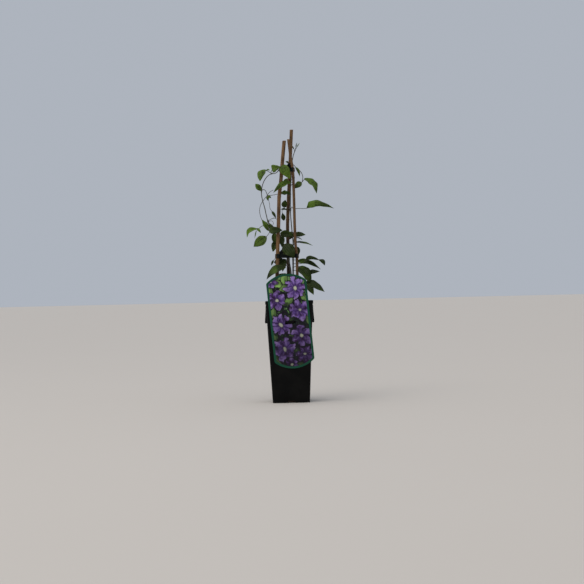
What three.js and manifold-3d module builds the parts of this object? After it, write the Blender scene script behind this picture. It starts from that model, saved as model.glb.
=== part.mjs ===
// A young climbing clematis in a tall square pot: three bamboo canes held by two clips,
// four leafy stems that wind up between them, and a picture label hung on the pot.
// Millimetres, +Z up. The origin is the middle of the pot's underside and the label faces -Y.
import * as THREE from 'three';
import { mergeVertices } from 'three/addons/utils/BufferGeometryUtils.js';
import Module from 'manifold-3d';

const wasm = await Module();
wasm.setup();

// ---- Driving dimensions ----

const GAP = 0.3; // clear space between neighbouring pieces

const POT = {
  height: 221,
  halfBase: 40.3, // half the outside width at the foot
  halfTop: 51.2, // and at the top of the wall
  wall: 1.4,
  floor: 2.4,
  cornerRadius: 5,
  footChamfer: 0.8,
  rim: { height: 8, proud: 0.9 },
  notch: { width: 20, topWidth: 15, height: 4.5, depth: 9 }, // drain notch under each side
  cornerSegments: 3,
  lugWidth: 18, // hang lug in the middle of each side
};

// A lug's outline: [distance out from the wall, height]. Its ramp guides a label's slot into the groove.
const LUG_OUTLINE = [
  [-0.7, 204],
  [0, 204],
  [1.9, 179],
  [1.9, 176],
  [3.2, 176],
  [3.2, 178.2],
  [4, 178.2],
  [4.2, 175],
  [3.8, 172.5],
  [-0.7, 172.5],
];

// On the sides without a label the lug is a plain wedge, drawn in the same way.
const WEDGE_OUTLINE = [
  [-0.7, 211],
  [1.4, 211],
  [2.2, 200],
  [5.2, 177],
  [5.2, 174.5],
  [4.6, 172.5],
  [-0.7, 172.5],
];

const SOIL = {
  top: 204,
  cells: 9,
  waves: [
    { height: 1.3, alongX: 0.17, alongY: 0.14 },
    { height: 0.8, alongX: 0.31, alongY: -0.27 },
  ],
};
const CANE = { foot: 14, sides: 10, bulge: 0.5, bulgeReach: 2.6, boreRadius: 1.1, boreDepth: 6 };

// Canes: the middle line from the soil up, as [x, y, z], and the heights of the nodes in the bamboo.
const CANES = {
  cane_left: {
    radius: 4,
    line: [
      [-34, -21.2, 14],
      [-28.6, -16, 206],
      [-24.8, -14, 283],
      [-22.4, -12.5, 338],
      [-19.8, -11.2, 386],
      [-17, -9.5, 449],
      [-12.6, -8.7, 480],
      [-8, -7.5, 526],
      [-3, -6.3, 572],
    ],
    nodes: [260, 449],
  },
  cane_right: {
    radius: 3,
    line: [
      [24, -21.2, 14],
      [20.5, -16, 206],
      [19, -14, 283],
      [19.2, -13, 320],
      [16.8, -12.4, 339],
      [15.7, -11.2, 383],
      [15.6, -9.8, 438],
      [15.1, -8.8, 488],
      [14.7, -8.4, 506],
      [12.7, -8, 520],
      [10, -7.3, 538],
      [6.3, -6.2, 575],
    ],
    nodes: [331, 490],
  },
  cane_back: {
    radius: 3.7,
    line: [
      [-1.5, 34.4, 14],
      [-0.6, 28, 206],
      [-0.3, 24.6, 283],
      [0, 20, 388],
      [3.4, 17.2, 449],
      [5.2, 16.2, 472],
      [8.6, 14, 521],
      [13.4, 10.6, 598],
    ],
    nodes: [400, 560],
  },
};

// Clips: a triangle of bars with a sleeve round each cane. The front bar is lower than the back corner.
const CLIP = {
  height: 8.4,
  barThickness: 3,
  sleeveWall: 1.7,
  sleeveHeight: 9.4,
  sleeveSides: 12,
  mouthWidth: 4.6,
};
const CLIPS = {
  clip_lower: { front: 319, back: 342 },
  clip_upper: { front: 508, back: 520 },
};

const LABEL = {
  width: 86.9,
  side: 171, // length of the straight sides
  arch: 17, // how far the ends bulge past them
  cornerRadius: 6,
  thickness: 0.6,
  bow: 0.8, // the side edges curl back by this much
  curveSegments: 6,
  slot: { width: 23.6, height: 6 },
  slotHeight: 174.2, // height of the slot's middle above the ground
  slotBelowMiddle: 3,
  shift: 1.8, // it hangs a little right of the lug's middle
  standOff: 2.5, // from the pot's wall to the middle of the sheet
  lean: 4.8, // degrees, its top leans to the left
  tilt: 3.3, // degrees, it lies along the tapered wall
};

const STEM = {
  rootDepth: 20,
  sides: 6,
  stepLength: 12,
  collar: 2, // it stands straight this far above the soil
  holeSlack: 0.6,
  holeSides: 8,
  stalkSides: 4,
  stalkRadius: 0.75, // the stalk of a wide leaf
  slimStalkRadius: 0.6,
};
const LEAF = {
  thickness: 0.7,
  tipHalfWidth: 0.45,
  widest: 0.34, // where along the blade it is widest
  ribReach: 2, // how far the stalk runs on into the blade
  wide: 12.5, // a leaf wider than this has a thicker stalk and more strips across
  strips: { slim: 2, wide: 4, along: 5 },
};

// ---- Colours and finishes ----

const finish = (color, roughness) =>
  new THREE.MeshStandardMaterial({ color, roughness, metalness: 0, side: THREE.DoubleSide });

const FINISH = {
  pot: finish('#141414', 0.45),
  soil: finish('#2b1d14', 1),
  bamboo: finish('#8a5f39', 0.6),
  clip: finish('#161b1d', 0.5),
  label: finish('#174f3a', 0.35),
  leaf: finish('#3f5c22', 0.55),
};

// ---- Solids, joins and cuts ----

// A closed geometry as a solid: only the positions count, and triangles with no area are dropped.
function solid(geometry) {
  const bare = geometry.clone();
  bare.deleteAttribute('normal');
  bare.deleteAttribute('uv');
  const merged = mergeVertices(bare, 1e-4);
  const triVerts = [];
  const index = merged.index.array;
  for (let i = 0; i < index.length; i += 3) {
    const [a, b, c] = [index[i], index[i + 1], index[i + 2]];
    if (a !== b && b !== c && c !== a) triVerts.push(a, b, c);
  }
  return new wasm.Manifold(
    new wasm.Mesh({
      numProp: 3,
      vertProperties: merged.attributes.position.array,
      triVerts: new Uint32Array(triVerts),
    }),
  );
}

const join = (parts) => parts.reduce((whole, part) => whole.add(part));

const cut = (whole, parts) => parts.reduce((rest, part) => rest.subtract(part), whole);

function piece(name, body, material) {
  const { vertProperties, triVerts } = body.getMesh();
  const geometry = new THREE.BufferGeometry();
  geometry.setAttribute('position', new THREE.BufferAttribute(vertProperties, 3));
  geometry.setIndex(new THREE.BufferAttribute(triVerts, 1));
  geometry.computeVertexNormals();
  const mesh = new THREE.Mesh(geometry, material);
  mesh.name = name;
  return mesh;
}

const point = (xyz) => new THREE.Vector3(...xyz);

// Linear interpolation of a cane's middle line at height z.
function lineAt(line, z) {
  const above = line.findIndex((p) => p[2] >= z);
  const i = above < 0 ? line.length - 1 : Math.max(above, 1);
  const [low, high] = [point(line[i - 1]), point(line[i])];
  return low.lerp(high, (z - low.z) / (high.z - low.z));
}

// ---- The pot and its soil ----

const wallHalf = (z) => POT.halfBase + ((POT.halfTop - POT.halfBase) * z) / POT.height;

function roundedSquare(half, radius) {
  const reach = half - radius;
  const shape = new THREE.Shape();
  shape.absarc(reach, -reach, radius, -Math.PI / 2, 0);
  shape.absarc(reach, reach, radius, 0, Math.PI / 2);
  shape.absarc(-reach, reach, radius, Math.PI / 2, Math.PI);
  shape.absarc(-reach, -reach, radius, Math.PI, Math.PI * 1.5);
  return shape;
}

// A square prism with round corners whose half width changes with height: levels are [z, half width].
function squareLoft(levels) {
  const shape = roundedSquare(POT.halfBase, POT.cornerRadius);
  const steps = levels.length - 1;
  const curveSegments = POT.cornerSegments;
  const loft = new THREE.ExtrudeGeometry(shape, { depth: steps, steps, bevelEnabled: false, curveSegments });
  const { position } = loft.attributes;
  for (let i = 0; i < position.count; i++) {
    const [z, half] = levels[Math.round(position.getZ(i))];
    const scale = half / POT.halfBase;
    position.setXYZ(i, position.getX(i) * scale, position.getY(i) * scale, z);
  }
  return solid(loft);
}

// An outline in (out from the middle, z), as wide as given along the side, set on side 0 to 3 of the pot.
function onSide(side, outline, width) {
  const shape = new THREE.Shape(outline.map(([out, z]) => new THREE.Vector2(out, z)));
  const bar = new THREE.ExtrudeGeometry(shape, { depth: width, bevelEnabled: false });
  bar.translate(0, 0, -width / 2);
  bar.rotateX(Math.PI / 2);
  bar.rotateZ((side * Math.PI) / 2);
  return solid(bar);
}

function lug(side) {
  const drawn = side === LABEL_SIDE ? LUG_OUTLINE : WEDGE_OUTLINE;
  const outline = drawn.map(([out, z]) => [wallHalf(z) + out, z]);
  return onSide(side, outline, POT.lugWidth);
}

function drainNotch(side) {
  const { width, topWidth, height, depth } = POT.notch;
  const shape = new THREE.Shape();
  const below = -1;
  shape.moveTo(-width / 2, below);
  shape.lineTo(width / 2, below);
  shape.lineTo(topWidth / 2, height);
  shape.lineTo(-topWidth / 2, height);
  shape.closePath();
  const prism = new THREE.ExtrudeGeometry(shape, { depth: depth * 2, bevelEnabled: false });
  prism.rotateX(Math.PI / 2);
  prism.translate(0, -(POT.halfBase - depth), 0);
  prism.rotateZ((side * Math.PI) / 2);
  return solid(prism);
}

const SIDES = [0, 1, 2, 3];
const LABEL_SIDE = 3; // side 0 looks along +X, and each next one is a quarter turn on

function buildPot() {
  const { height, floor, wall, footChamfer, rim } = POT;
  const rimFoot = height - rim.height;
  const outside = squareLoft([
    [0, POT.halfBase - footChamfer],
    [footChamfer, wallHalf(footChamfer)],
    [rimFoot, wallHalf(rimFoot)],
    [rimFoot + rim.proud, wallHalf(rimFoot) + rim.proud],
    [height, wallHalf(height) + rim.proud],
  ]);
  const above = height + 1;
  const inside = squareLoft([
    [floor, wallHalf(floor) - wall],
    [above, wallHalf(above) - wall],
  ]);
  const body = join([outside, ...SIDES.map(lug)]);
  return cut(body, [inside, ...SIDES.map(drainNotch)]);
}

// The soil's uneven top: waves that don't line up.
function soilTop(x, y) {
  const heights = SOIL.waves.map((wave) => wave.height * Math.sin(x * wave.alongX + y * wave.alongY));
  return heights.reduce((sum, height) => sum + height, SOIL.top);
}

function buildSoil(holes) {
  const inset = POT.wall + GAP;
  const low = POT.floor + GAP;
  const above = POT.height;
  const filling = squareLoft([
    [low, wallHalf(low) - inset],
    [above, wallHalf(above) - inset],
  ]);
  const size = (POT.halfTop + POT.wall) * 2;
  const heap = new THREE.BoxGeometry(size, size, 1, SOIL.cells, SOIL.cells, 1);
  const { position } = heap.attributes;
  for (let i = 0; i < position.count; i++) {
    const [x, y] = [position.getX(i), position.getY(i)];
    position.setZ(i, position.getZ(i) > 0 ? soilTop(x, y) : 0);
  }
  return cut(filling.intersect(solid(heap)), holes);
}

// ---- Canes ----

// A cane with its bulged nodes and the open pith at its top, made larger all round by grow.
function cane({ radius, line, nodes }, grow = 0) {
  const { foot, sides, bulge, bulgeReach, boreRadius, boreDepth } = CANE;
  const top = line.at(-1)[2] + grow;
  const bends = line.slice(1, -1).map((p) => p[2]);
  const clear = bends.filter((z) => nodes.every((node) => Math.abs(node - z) > bulgeReach + 1));
  const rings = clear.map((z) => [radius, z]);
  for (const node of nodes) {
    rings.push([radius, node - bulgeReach], [radius + bulge, node], [radius, node + bulgeReach]);
  }
  rings.sort((a, b) => a[1] - b[1]);
  const wall = [[radius, foot - grow], ...rings, [radius, top]].map(([r, z]) => [r + grow, z]);
  const bore = [
    [boreRadius, top],
    [boreRadius, top - boreDepth],
    [0, top - boreDepth],
  ];
  const outline = [[0, foot - grow], ...wall, ...(grow ? [[0, top]] : bore)];
  const straight = new THREE.LatheGeometry(outline.map(([r, z]) => new THREE.Vector2(r, z)), sides);
  straight.rotateX(Math.PI / 2);
  const { position } = straight.attributes;
  for (let i = 0; i < position.count; i++) {
    const z = position.getZ(i);
    const middle = lineAt(line, z);
    position.setXYZ(i, position.getX(i) + middle.x, position.getY(i) + middle.y, z);
  }
  return solid(straight);
}

// ---- Clips ----

// A bar of the clip's height and thickness from one sleeve's middle to the next.
function clipBar(from, to) {
  const run = to.clone().sub(from);
  const flat = new THREE.Vector3(run.y, -run.x, 0).normalize();
  const up = run.clone().normalize().cross(flat).negate();
  const bar = new THREE.BoxGeometry(run.length(), CLIP.barThickness, CLIP.height);
  const frame = new THREE.Matrix4().makeBasis(run.clone().normalize(), flat.clone().negate(), up);
  return solid(bar.applyMatrix4(frame.setPosition(from.clone().lerp(to, 0.5))));
}

function clip({ front, back }) {
  const corners = [
    lineAt(CANES.cane_left.line, front),
    lineAt(CANES.cane_right.line, front),
    lineAt(CANES.cane_back.line, back),
  ];
  const middle = corners.reduce((sum, corner) => sum.clone().add(corner)).divideScalar(corners.length);
  const { sleeveWall, sleeveHeight, sleeveSides, mouthWidth } = CLIP;
  const bodies = corners.map((corner, i) => clipBar(corner, corners[(i + 1) % corners.length]));
  const mouths = [];
  for (const [i, { radius }] of Object.values(CANES).entries()) {
    const corner = corners[i];
    const outside = radius + sleeveWall;
    const sleeve = new THREE.CylinderGeometry(outside, outside, sleeveHeight, sleeveSides);
    bodies.push(solid(sleeve.rotateX(Math.PI / 2).translate(...corner)));
    const reach = outside * 2;
    const mouth = new THREE.BoxGeometry(reach, mouthWidth, reach * 2).translate(reach / 2, 0, 0);
    mouth.rotateZ(Math.atan2(corner.y - middle.y, corner.x - middle.x)).translate(...corner);
    mouths.push(solid(mouth));
  }
  const holes = Object.values(CANES).map((spec) => cane(spec, GAP));
  return cut(join(bodies), [...holes, ...mouths]);
}

// ---- The label ----

// Straight sides, ends that bulge as arcs, and round corners where they meet.
function labelOutline() {
  const { width, side, arch, cornerRadius } = LABEL;
  const half = width / 2;
  const endRadius = (half * half + arch * arch) / (2 * arch);
  const endMiddle = side / 2 + arch - endRadius;
  const inset = half - cornerRadius;
  const corner = endMiddle + Math.sqrt((endRadius - cornerRadius) ** 2 - inset ** 2);
  const turn = Math.atan2(corner - endMiddle, inset);
  const shape = new THREE.Shape();
  shape.absarc(inset, corner, cornerRadius, 0, turn);
  shape.absarc(0, endMiddle, endRadius, turn, Math.PI - turn);
  shape.absarc(-inset, corner, cornerRadius, Math.PI - turn, Math.PI);
  shape.absarc(-inset, -corner, cornerRadius, Math.PI, Math.PI + turn);
  shape.absarc(0, -endMiddle, endRadius, Math.PI + turn, Math.PI * 2 - turn);
  shape.absarc(inset, -corner, cornerRadius, Math.PI * 2 - turn, Math.PI * 2);
  return shape;
}

// Its own frame: x across, z along its length, the print on the -y face, the origin in the slot's middle.
function labelSheet() {
  const { width, side, arch, thickness, bow, slot, slotBelowMiddle, curveSegments } = LABEL;
  const shape = labelOutline();
  const reach = slot.width / 2;
  const low = -slotBelowMiddle - slot.height / 2;
  const high = low + slot.height;
  const opening = new THREE.Path();
  opening.moveTo(-reach, low).lineTo(-reach, high).lineTo(reach, high).lineTo(reach, low);
  shape.holes.push(opening);
  const throughCut = 20;
  const outline = new THREE.ExtrudeGeometry(shape, { depth: throughCut, bevelEnabled: false, curveSegments });
  outline.translate(0, 0, -throughCut / 2).rotateX(Math.PI / 2);

  // The sheet seen from above is a shallow arc, thick as the plastic.
  const half = width / 2;
  const bowRadius = (half * half + bow * bow) / (2 * bow);
  const spare = 5; // cut away by the outline
  const spread = (half + spare) / bowRadius;
  const strip = new THREE.Shape();
  strip.absarc(0, bowRadius, bowRadius + thickness / 2, -Math.PI / 2 - spread, -Math.PI / 2 + spread, false);
  strip.absarc(0, bowRadius, bowRadius - thickness / 2, -Math.PI / 2 + spread, -Math.PI / 2 - spread, true);
  const length = side + (arch + spare) * 2;
  const sheet = new THREE.ExtrudeGeometry(strip, { depth: length, bevelEnabled: false, curveSegments });
  sheet.translate(0, 0, -length / 2);
  return solid(sheet)
    .intersect(solid(outline))
    .translate([0, 0, slotBelowMiddle]);
}

// ---- Stems and leaves ----

function tube(points, radius, sides) {
  const path = new THREE.CatmullRomCurve3(points, false, 'centripetal');
  const section = new THREE.Shape();
  for (let i = 0; i < sides; i++) {
    const turn = (i / sides) * Math.PI * 2;
    section[i ? 'lineTo' : 'moveTo'](radius * Math.cos(turn), radius * Math.sin(turn));
  }
  const steps = Math.max(points.length, Math.ceil(path.getLength() / STEM.stepLength));
  return solid(new THREE.ExtrudeGeometry(section, { steps, extrudePath: path }));
}

// A surface made thick: a copy of its faces on each side, split alike, joined round the edge.
function thicken(surface, thickness) {
  surface.computeVertexNormals();
  const { position, normal } = surface.attributes;
  const faces = Array.from(surface.index.array);
  const count = position.count;
  const points = [];
  for (const side of [0.5, -0.5]) {
    for (let i = 0; i < count; i++) {
      const at = new THREE.Vector3().fromBufferAttribute(position, i);
      at.addScaledVector(new THREE.Vector3().fromBufferAttribute(normal, i), side * thickness);
      points.push(at.x, at.y, at.z);
    }
  }
  const edges = new Set();
  const index = [...faces];
  for (let i = 0; i < faces.length; i += 3) {
    const face = faces.slice(i, i + 3);
    index.push(face[0] + count, face[2] + count, face[1] + count);
    face.forEach((a, k) => edges.add(`${a},${face[(k + 1) % 3]}`));
  }
  for (const edge of edges) {
    const [a, b] = edge.split(',').map(Number);
    if (edges.has(`${b},${a}`)) continue;
    index.push(b, a, a + count, b, a + count, b + count);
  }
  const closed = new THREE.BufferGeometry();
  closed.setAttribute('position', new THREE.Float32BufferAttribute(points, 3));
  closed.setIndex(index);
  return closed;
}

// Half the width of a leaf as a share of its widest: round at the base, drawn out to a point.
const leafTaper = (t, widest) => ((t / widest) ** (widest / (1 - widest)) * (1 - t)) / (1 - widest);

// A leaf blade from its base to its tip. face is where its upper side looks, fold (degrees) closes the
// halves along the midrib, arch lifts the middle of the blade, and bend curves it to one side. lobe is
// how far the corners of a heart-shaped base reach back.
function blade({ base, tip, width, face, fold = 15, arch = 2, bend = 0, lobe = 0, widest = LEAF.widest }) {
  const start = point(base);
  const run = point(tip).sub(start);
  const ahead = run.clone().normalize();
  const side = run.clone().cross(point(face)).normalize();
  const up = side.clone().cross(run).normalize();
  const { slim, wide, along } = LEAF.strips;
  const lift = Math.sin(THREE.MathUtils.degToRad(fold));
  const spread = Math.cos(THREE.MathUtils.degToRad(fold));
  const spine = (t) => {
    const middle = Math.sin(Math.PI * t);
    const straight = start.clone().addScaledVector(run, t);
    return straight.addScaledVector(up, arch * middle).addScaledVector(side, bend * middle);
  };
  const surface = new THREE.PlaneGeometry(1, 1, width > LEAF.wide ? wide : slim, along);
  const { position } = surface.attributes;
  for (let i = 0; i < position.count; i++) {
    const t = position.getY(i) + 0.5;
    const u = position.getX(i) * 2;
    const half = Math.max((width / 2) * leafTaper(t, widest), LEAF.tipHalfWidth);
    const at = spine(t).addScaledVector(side, u * half * spread);
    at.addScaledVector(ahead, -lobe * u * u * (1 - t) ** 8);
    at.addScaledVector(up, Math.abs(u) * half * lift);
    position.setXYZ(i, at.x, at.y, at.z);
  }
  return { body: solid(thicken(surface, LEAF.thickness)), rib: spine(LEAF.ribReach / run.length()) };
}

// Directions a blade's upper side can look.
const FRONT = [0, -1, 0.25];
const FRONT_UP = [0, -1, 1];
const UP = [0, -0.35, 1];

// Each stem: its vine from the root up, the stalks that carry no leaf of their own, and its leaves.
// A leaf's stalk ends at the base of its blade. All lengths are in millimetres.
const STEMS = {
  stem_main: {
    radius: 1.25,
    root: [9, 4],
    vine: [
      [9.6, 7, 248],
      [10.6, 12, 281],
      [11.6, 17, 328],
      [11.2, 17, 355],
      [9.6, 16, 376],
      [8.2, 16.2, 396],
      [7, 18.6, 420],
      [7.8, 22.2, 445],
      [9, 23, 476],
      [11, 23.8, 500],
      [12.6, 23.8, 522],
      [15.8, 21, 540],
      [20.6, 18, 554],
    ],
    stalks: [
      {
        radius: 0.8,
        line: [
          [12.6, 23.8, 524], [17, 20.5, 521], [24, 15, 512], [31, 11, 506], [36, 7, 495],
          [34.7, 5, 482],
        ],
      },
      { radius: 0.7, line: [[7, 18.8, 422], [5.8, 12.6, 424], [-1, 9, 424], [-6, 6.5, 423.5]] },
    ],
    leaves: [
      // the shoot's tip
      {
        stalk: [[20, 18.5, 552.5], [22.4, 17.4, 560]],
        tip: [25, 16.5, 570], width: 2.2, face: FRONT,
      },
      { stalk: [[20.6, 18, 554], [25.4, 16.6, 561]], tip: [31, 15.6, 569], width: 2, face: FRONT },
      {
        stalk: [[20, 18.5, 552.5], [17.8, 18, 556.5]],
        tip: [12.6, 18.5, 565], width: 2.6, face: FRONT,
      },
      // the right arc
      {
        stalk: [[34.7, 5, 482], [37.6, 4, 485.6], [40.7, 3, 488.6]],
        tip: [65.6, -4, 455], width: 22, face: [0.55, -0.75, 0.5], fold: 14, arch: 4, bend: -7,
      },
      {
        stalk: [[34.7, 5, 482], [31.6, 4.6, 480.4]],
        tip: [16.6, 1.5, 467.5], width: 14, face: FRONT, fold: 12,
      },
      {
        stalk: [[24, 15, 512], [21.4, 12, 514]],
        tip: [29.4, 7, 494.5], width: 8.5, face: [0.5, -1, 0.4], fold: 30,
      },
      {
        stalk: [[12.6, 23.8, 522], [9, 22, 526], [4.6, 20, 526.6]],
        tip: [-1.5, 18.4, 529], width: 5, face: FRONT,
      },
      // the long leaf in front of the left canes
      {
        stalk: [[9, 23, 476], [13, 18, 479], [13.6, 10, 481], [11, 1, 481], [8.4, -7, 480.8]],
        tip: [-29, -23, 457.6], width: 19, face: FRONT_UP, fold: 30, arch: 4.4,
      },
      // the long stalk to the right
      {
        stalk: [
          [7, 18.6, 420], [10.4, 13.6, 428], [13.6, 7, 423.6], [24, 0.5, 423.4], [38, -2.5, 422.8],
          [48.8, -4, 424],
        ],
        tip: [102.4, -13, 421], width: 31, face: FRONT_UP, fold: 40, arch: 6, lobe: 6, widest: 0.14,
      },
      // the small leaves left of the back cane
      {
        stalk: [[-6, 6.5, 423.5], [-6.6, 5.4, 428]],
        tip: [-3.4, 3, 443], width: 13.6, face: FRONT, fold: 10,
      },
      {
        stalk: [[-2, 9, 424], [-0.6, 7, 421]],
        tip: [-14, 3.4, 422], width: 9, face: [0, -0.7, 1], fold: 10, widest: 0.45,
      },
      {
        stalk: [[-6, 6.5, 423.5], [-11, 3.4, 420], [-10.6, 3, 415]],
        tip: [-7.6, 0.5, 397], width: 10.4, face: FRONT, fold: 16, widest: 0.6,
      },
      // the leaves behind, hidden in the front view
      {
        stalk: [[9.8, 8, 258], [22, 15, 263], [31, 21, 263]],
        tip: [44, 36, 247], width: 19, face: [0.5, 0.6, 1], fold: 14, arch: 3,
      },
      {
        stalk: [[10.2, 10.4, 271], [13, 21, 274], [14, 29, 272]],
        tip: [20, 49, 252], width: 21, face: [0.2, 0.8, 0.9], fold: 12, arch: 4, bend: 2,
      },
      {
        stalk: [[11.4, 17, 338], [9.4, 27, 344], [5, 32, 343]],
        tip: [-13, 41, 323], width: 19, face: [-0.2, 1, 0.6], fold: 12, arch: 4,
      },
      {
        stalk: [[10.2, 16.4, 368], [13.6, 26, 373], [12, 31, 372]],
        tip: [-4, 43, 355], width: 16, face: [-0.1, 1, 0.5], fold: 14, arch: 3, bend: 2,
      },
      {
        stalk: [[10, 23.4, 488], [9, 30, 492], [5, 33, 491]],
        tip: [-8, 41, 475], width: 14, face: [-0.3, 1, 0.6], fold: 14, arch: 3,
      },
    ],
  },
  stem_left: {
    radius: 1.2,
    root: [4, -1],
    vine: [
      [5.2, 0, 260],
      [5.6, 1, 282],
      [3.6, 2.6, 298],
      [-1, 5.2, 320],
      [-8, 5.2, 340],
      [-14, 4.2, 358],
      [-22, 3.6, 374],
      [-33, 1.4, 386],
      [-41.6, 0, 394],
      [-46, -1, 410],
      [-49.4, -2, 427],
      [-53.4, -3, 442],
      [-55.6, -3.4, 458],
      [-54, -4, 472],
      [-48.4, -6, 486],
      [-40, -8.6, 496],
      [-32, -10.8, 499.6],
      [-23.4, -14, 500.6],
      [-17, -17.6, 506],
      [-12.4, -19, 514.5],
    ],
    stalks: [
      {
        radius: 0.75,
        line: [[-54.8, -3.8, 466], [-48, -1.6, 465.4], [-44.8, 0, 460], [-43, 0.8, 453.4]],
      },
      {
        radius: 0.55,
        line: [[-43, 0.8, 453.4], [-39.6, 1.4, 459], [-34, 2.4, 463], [-29.6, 3, 465.4]],
      },
      {
        radius: 0.75,
        line: [[-43, -0.4, 397], [-48.6, -5.2, 388.6], [-57, -7, 385.4], [-64, -7.6, 379.4]],
      },
      {
        radius: 0.5,
        line: [[-42, 0, 395], [-38, -2, 397.4], [-33, -3.4, 396.2], [-30.6, -4, 391.4], [-32.6, -4.6, 387.4]],
      },
    ],
    leaves: [
      // the pair at the upper clip
      {
        stalk: [[-32, -10.8, 499.6], [-33.6, -17, 502], [-30, -22, 508.6]],
        tip: [-11.4, -24, 513.6], width: 18.4, face: FRONT, fold: 16, arch: 1, widest: 0.12,
      },
      {
        stalk: [[-17, -17.6, 506], [-9.4, -20.6, 515]],
        tip: [8.6, -22.4, 486], width: 22, face: FRONT, fold: 12, arch: 3, widest: 0.28,
      },
      // the upper left
      {
        stalk: [[-32, -10.8, 499.6], [-37, -9.6, 503.6], [-43, -9, 507.2], [-46.4, -9, 508.4]],
        tip: [-58, -15, 483.4], width: 27, face: [-0.8, -0.9, 0.5], fold: 30, arch: 1, widest: 0.4,
      },
      {
        stalk: [[-44, -9, 507.6], [-43.6, -9.8, 506.6]],
        tip: [-35.6, -12, 507.6], width: 6.4, face: FRONT_UP,
      },
      {
        stalk: [[-55.4, -3.6, 461.6], [-57, -4, 464.2]],
        tip: [-68.4, -6.4, 479], width: 13.4, face: FRONT, fold: 22, widest: 0.48,
      },
      // the little group inside the loop
      {
        stalk: [[-43, 0.8, 453.4], [-42, 0.4, 451.6]],
        tip: [-34.4, -2.6, 447.4], width: 7, face: FRONT,
      },
      {
        stalk: [[-43, 0.8, 453.4], [-42.6, 0.2, 450]],
        tip: [-41.6, -2.4, 441.6], width: 6.4, face: FRONT,
      },
      {
        stalk: [[-42.2, 0.2, 450], [-38.4, 1, 435], [-37.6, 0.6, 425], [-32.6, 0, 417]],
        tip: [-24.6, -2.6, 402.6], width: 6.4, face: FRONT,
      },
      {
        stalk: [[-43, 0.8, 453.4], [-33, 1.8, 453.8], [-19, 1, 456], [-12, -0.6, 457]],
        tip: [10, 2, 455], width: 15, face: FRONT_UP, fold: 20, arch: 2,
      },
      {
        stalk: [
          [-43, 0.8, 453.4], [-49.6, 0.6, 445.6], [-54.6, 0.2, 439], [-58.6, -1, 431],
          [-60.6, -2.2, 421], [-58.8, -3.4, 408], [-56, -4.4, 400],
        ],
        tip: [-42, -8, 374.6], width: 14, face: [0.4, -1, 0.3], fold: 24, widest: 0.56,
      },
      // the lower left
      {
        stalk: [[-42.4, -0.2, 395.6], [-39.6, 0, 399.4], [-34, -0.4, 402]],
        tip: [-23, -3.6, 400], width: 4.6, face: UP,
      },
      {
        stalk: [[-41.6, 0, 394], [-42.6, -2, 386]],
        tip: [-30.6, -6, 381.4], width: 12, face: FRONT, fold: 16,
      },
      {
        stalk: [[-41.6, 0, 394], [-42, -10, 382], [-39.4, -17.4, 374.6]],
        tip: [-11, -20, 375.4], width: 17, face: FRONT, fold: 10,
      },
      {
        stalk: [[-40.8, -13.4, 379], [-40, -13, 371], [-47.4, -12, 361.6]],
        tip: [-75, -15, 341], width: 22, face: FRONT, fold: 8, arch: 2, widest: 0.42,
      },
      {
        stalk: [[-64, -7.6, 379.4], [-66, -8, 380.6]],
        tip: [-58.4, -9.6, 371], width: 5.6, face: FRONT,
      },
      {
        stalk: [[-64, -7.6, 379.4], [-67.6, -8.4, 379.6]],
        tip: [-89, -15, 361.4], width: 14, face: [-0.3, -1, 0.6], fold: 20, arch: 3, bend: 7.5,
      },
      {
        stalk: [[-64, -7.6, 379.4], [-69, -8.6, 374.4]],
        tip: [-72.4, -9.4, 359.6], width: 2.4, face: FRONT,
      },
      // in front of the back cane, above the lower clip
      {
        stalk: [[-15.4, 4, 361], [-15, 2.4, 369]],
        tip: [14.6, -1, 364.4], width: 17, face: FRONT, fold: 16,
      },
    ],
  },
  stem_lower_left: {
    radius: 1.1,
    root: [3, 11],
    vine: [
      [3.4, 11, 248],
      [4, 11, 270],
      [3.6, 10.8, 290],
      [0.6, 9.6, 306],
      [-4, 7, 320],
      [-9.6, 0.8, 335],
      [-15, -2.6, 349],
    ],
    stalks: [],
    leaves: [
      {
        stalk: [[-15, -2.6, 348], [-12.4, -3.6, 362]],
        tip: [-13.4, -8.6, 338.6], width: 12.4, face: FRONT, fold: 14,
      },
      {
        stalk: [[-15.4, -3, 349], [-22.6, 0.6, 359], [-29, 0, 368.6]],
        tip: [-29.6, -3.4, 345], width: 13, face: FRONT, fold: 14,
      },
      {
        stalk: [[-14, -1.8, 344], [-20.4, 0.2, 349.4], [-27.4, 0, 351]],
        tip: [-33.4, -4.6, 328.8], width: 14, face: FRONT, fold: 12,
      },
      {
        stalk: [[-11.6, -1, 340], [-9.4, -9, 346.6], [-7.6, -13, 344]],
        tip: [13.4, -25.6, 315], width: 28, face: FRONT, fold: 10, arch: 3, widest: 0.4,
      },
      {
        stalk: [[0.6, 9.6, 306], [-4, 4, 307.6], [-9, -3.6, 307]],
        tip: [-31.6, -3.6, 306], width: 21, face: FRONT, fold: 10, widest: 0.46,
      },
      {
        stalk: [[3.6, 10.8, 290], [-1, 0, 298], [-4, -12, 299], [-7, -19, 296]],
        tip: [-48, -30, 268.6], width: 21, face: [-0.3, -1, 0.6], fold: 16, arch: 4, bend: 5,
      },
      {
        stalk: [[1.6, 10, 302], [-3, 4, 309], [-8.6, -1.6, 312]],
        tip: [-13, -9, 285], width: 13, face: FRONT, fold: 12,
      },
      {
        stalk: [[-1.6, 8.4, 312], [-13, -3, 313.6], [-27.6, -7, 314.6], [-33, -9, 309.4]],
        tip: [-37.6, -11, 298.6], width: 5, face: FRONT,
      },
      // the leaves behind, hidden in the front view
      {
        stalk: [[3.8, 11, 262], [-7, 14, 269], [-15, 20, 268]],
        tip: [-36, 38, 250], width: 20, face: [-0.5, 0.6, 1], fold: 12, arch: 4,
      },
      {
        stalk: [[4, 11, 274], [-6, 14, 281], [-11, 25, 281]],
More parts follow.
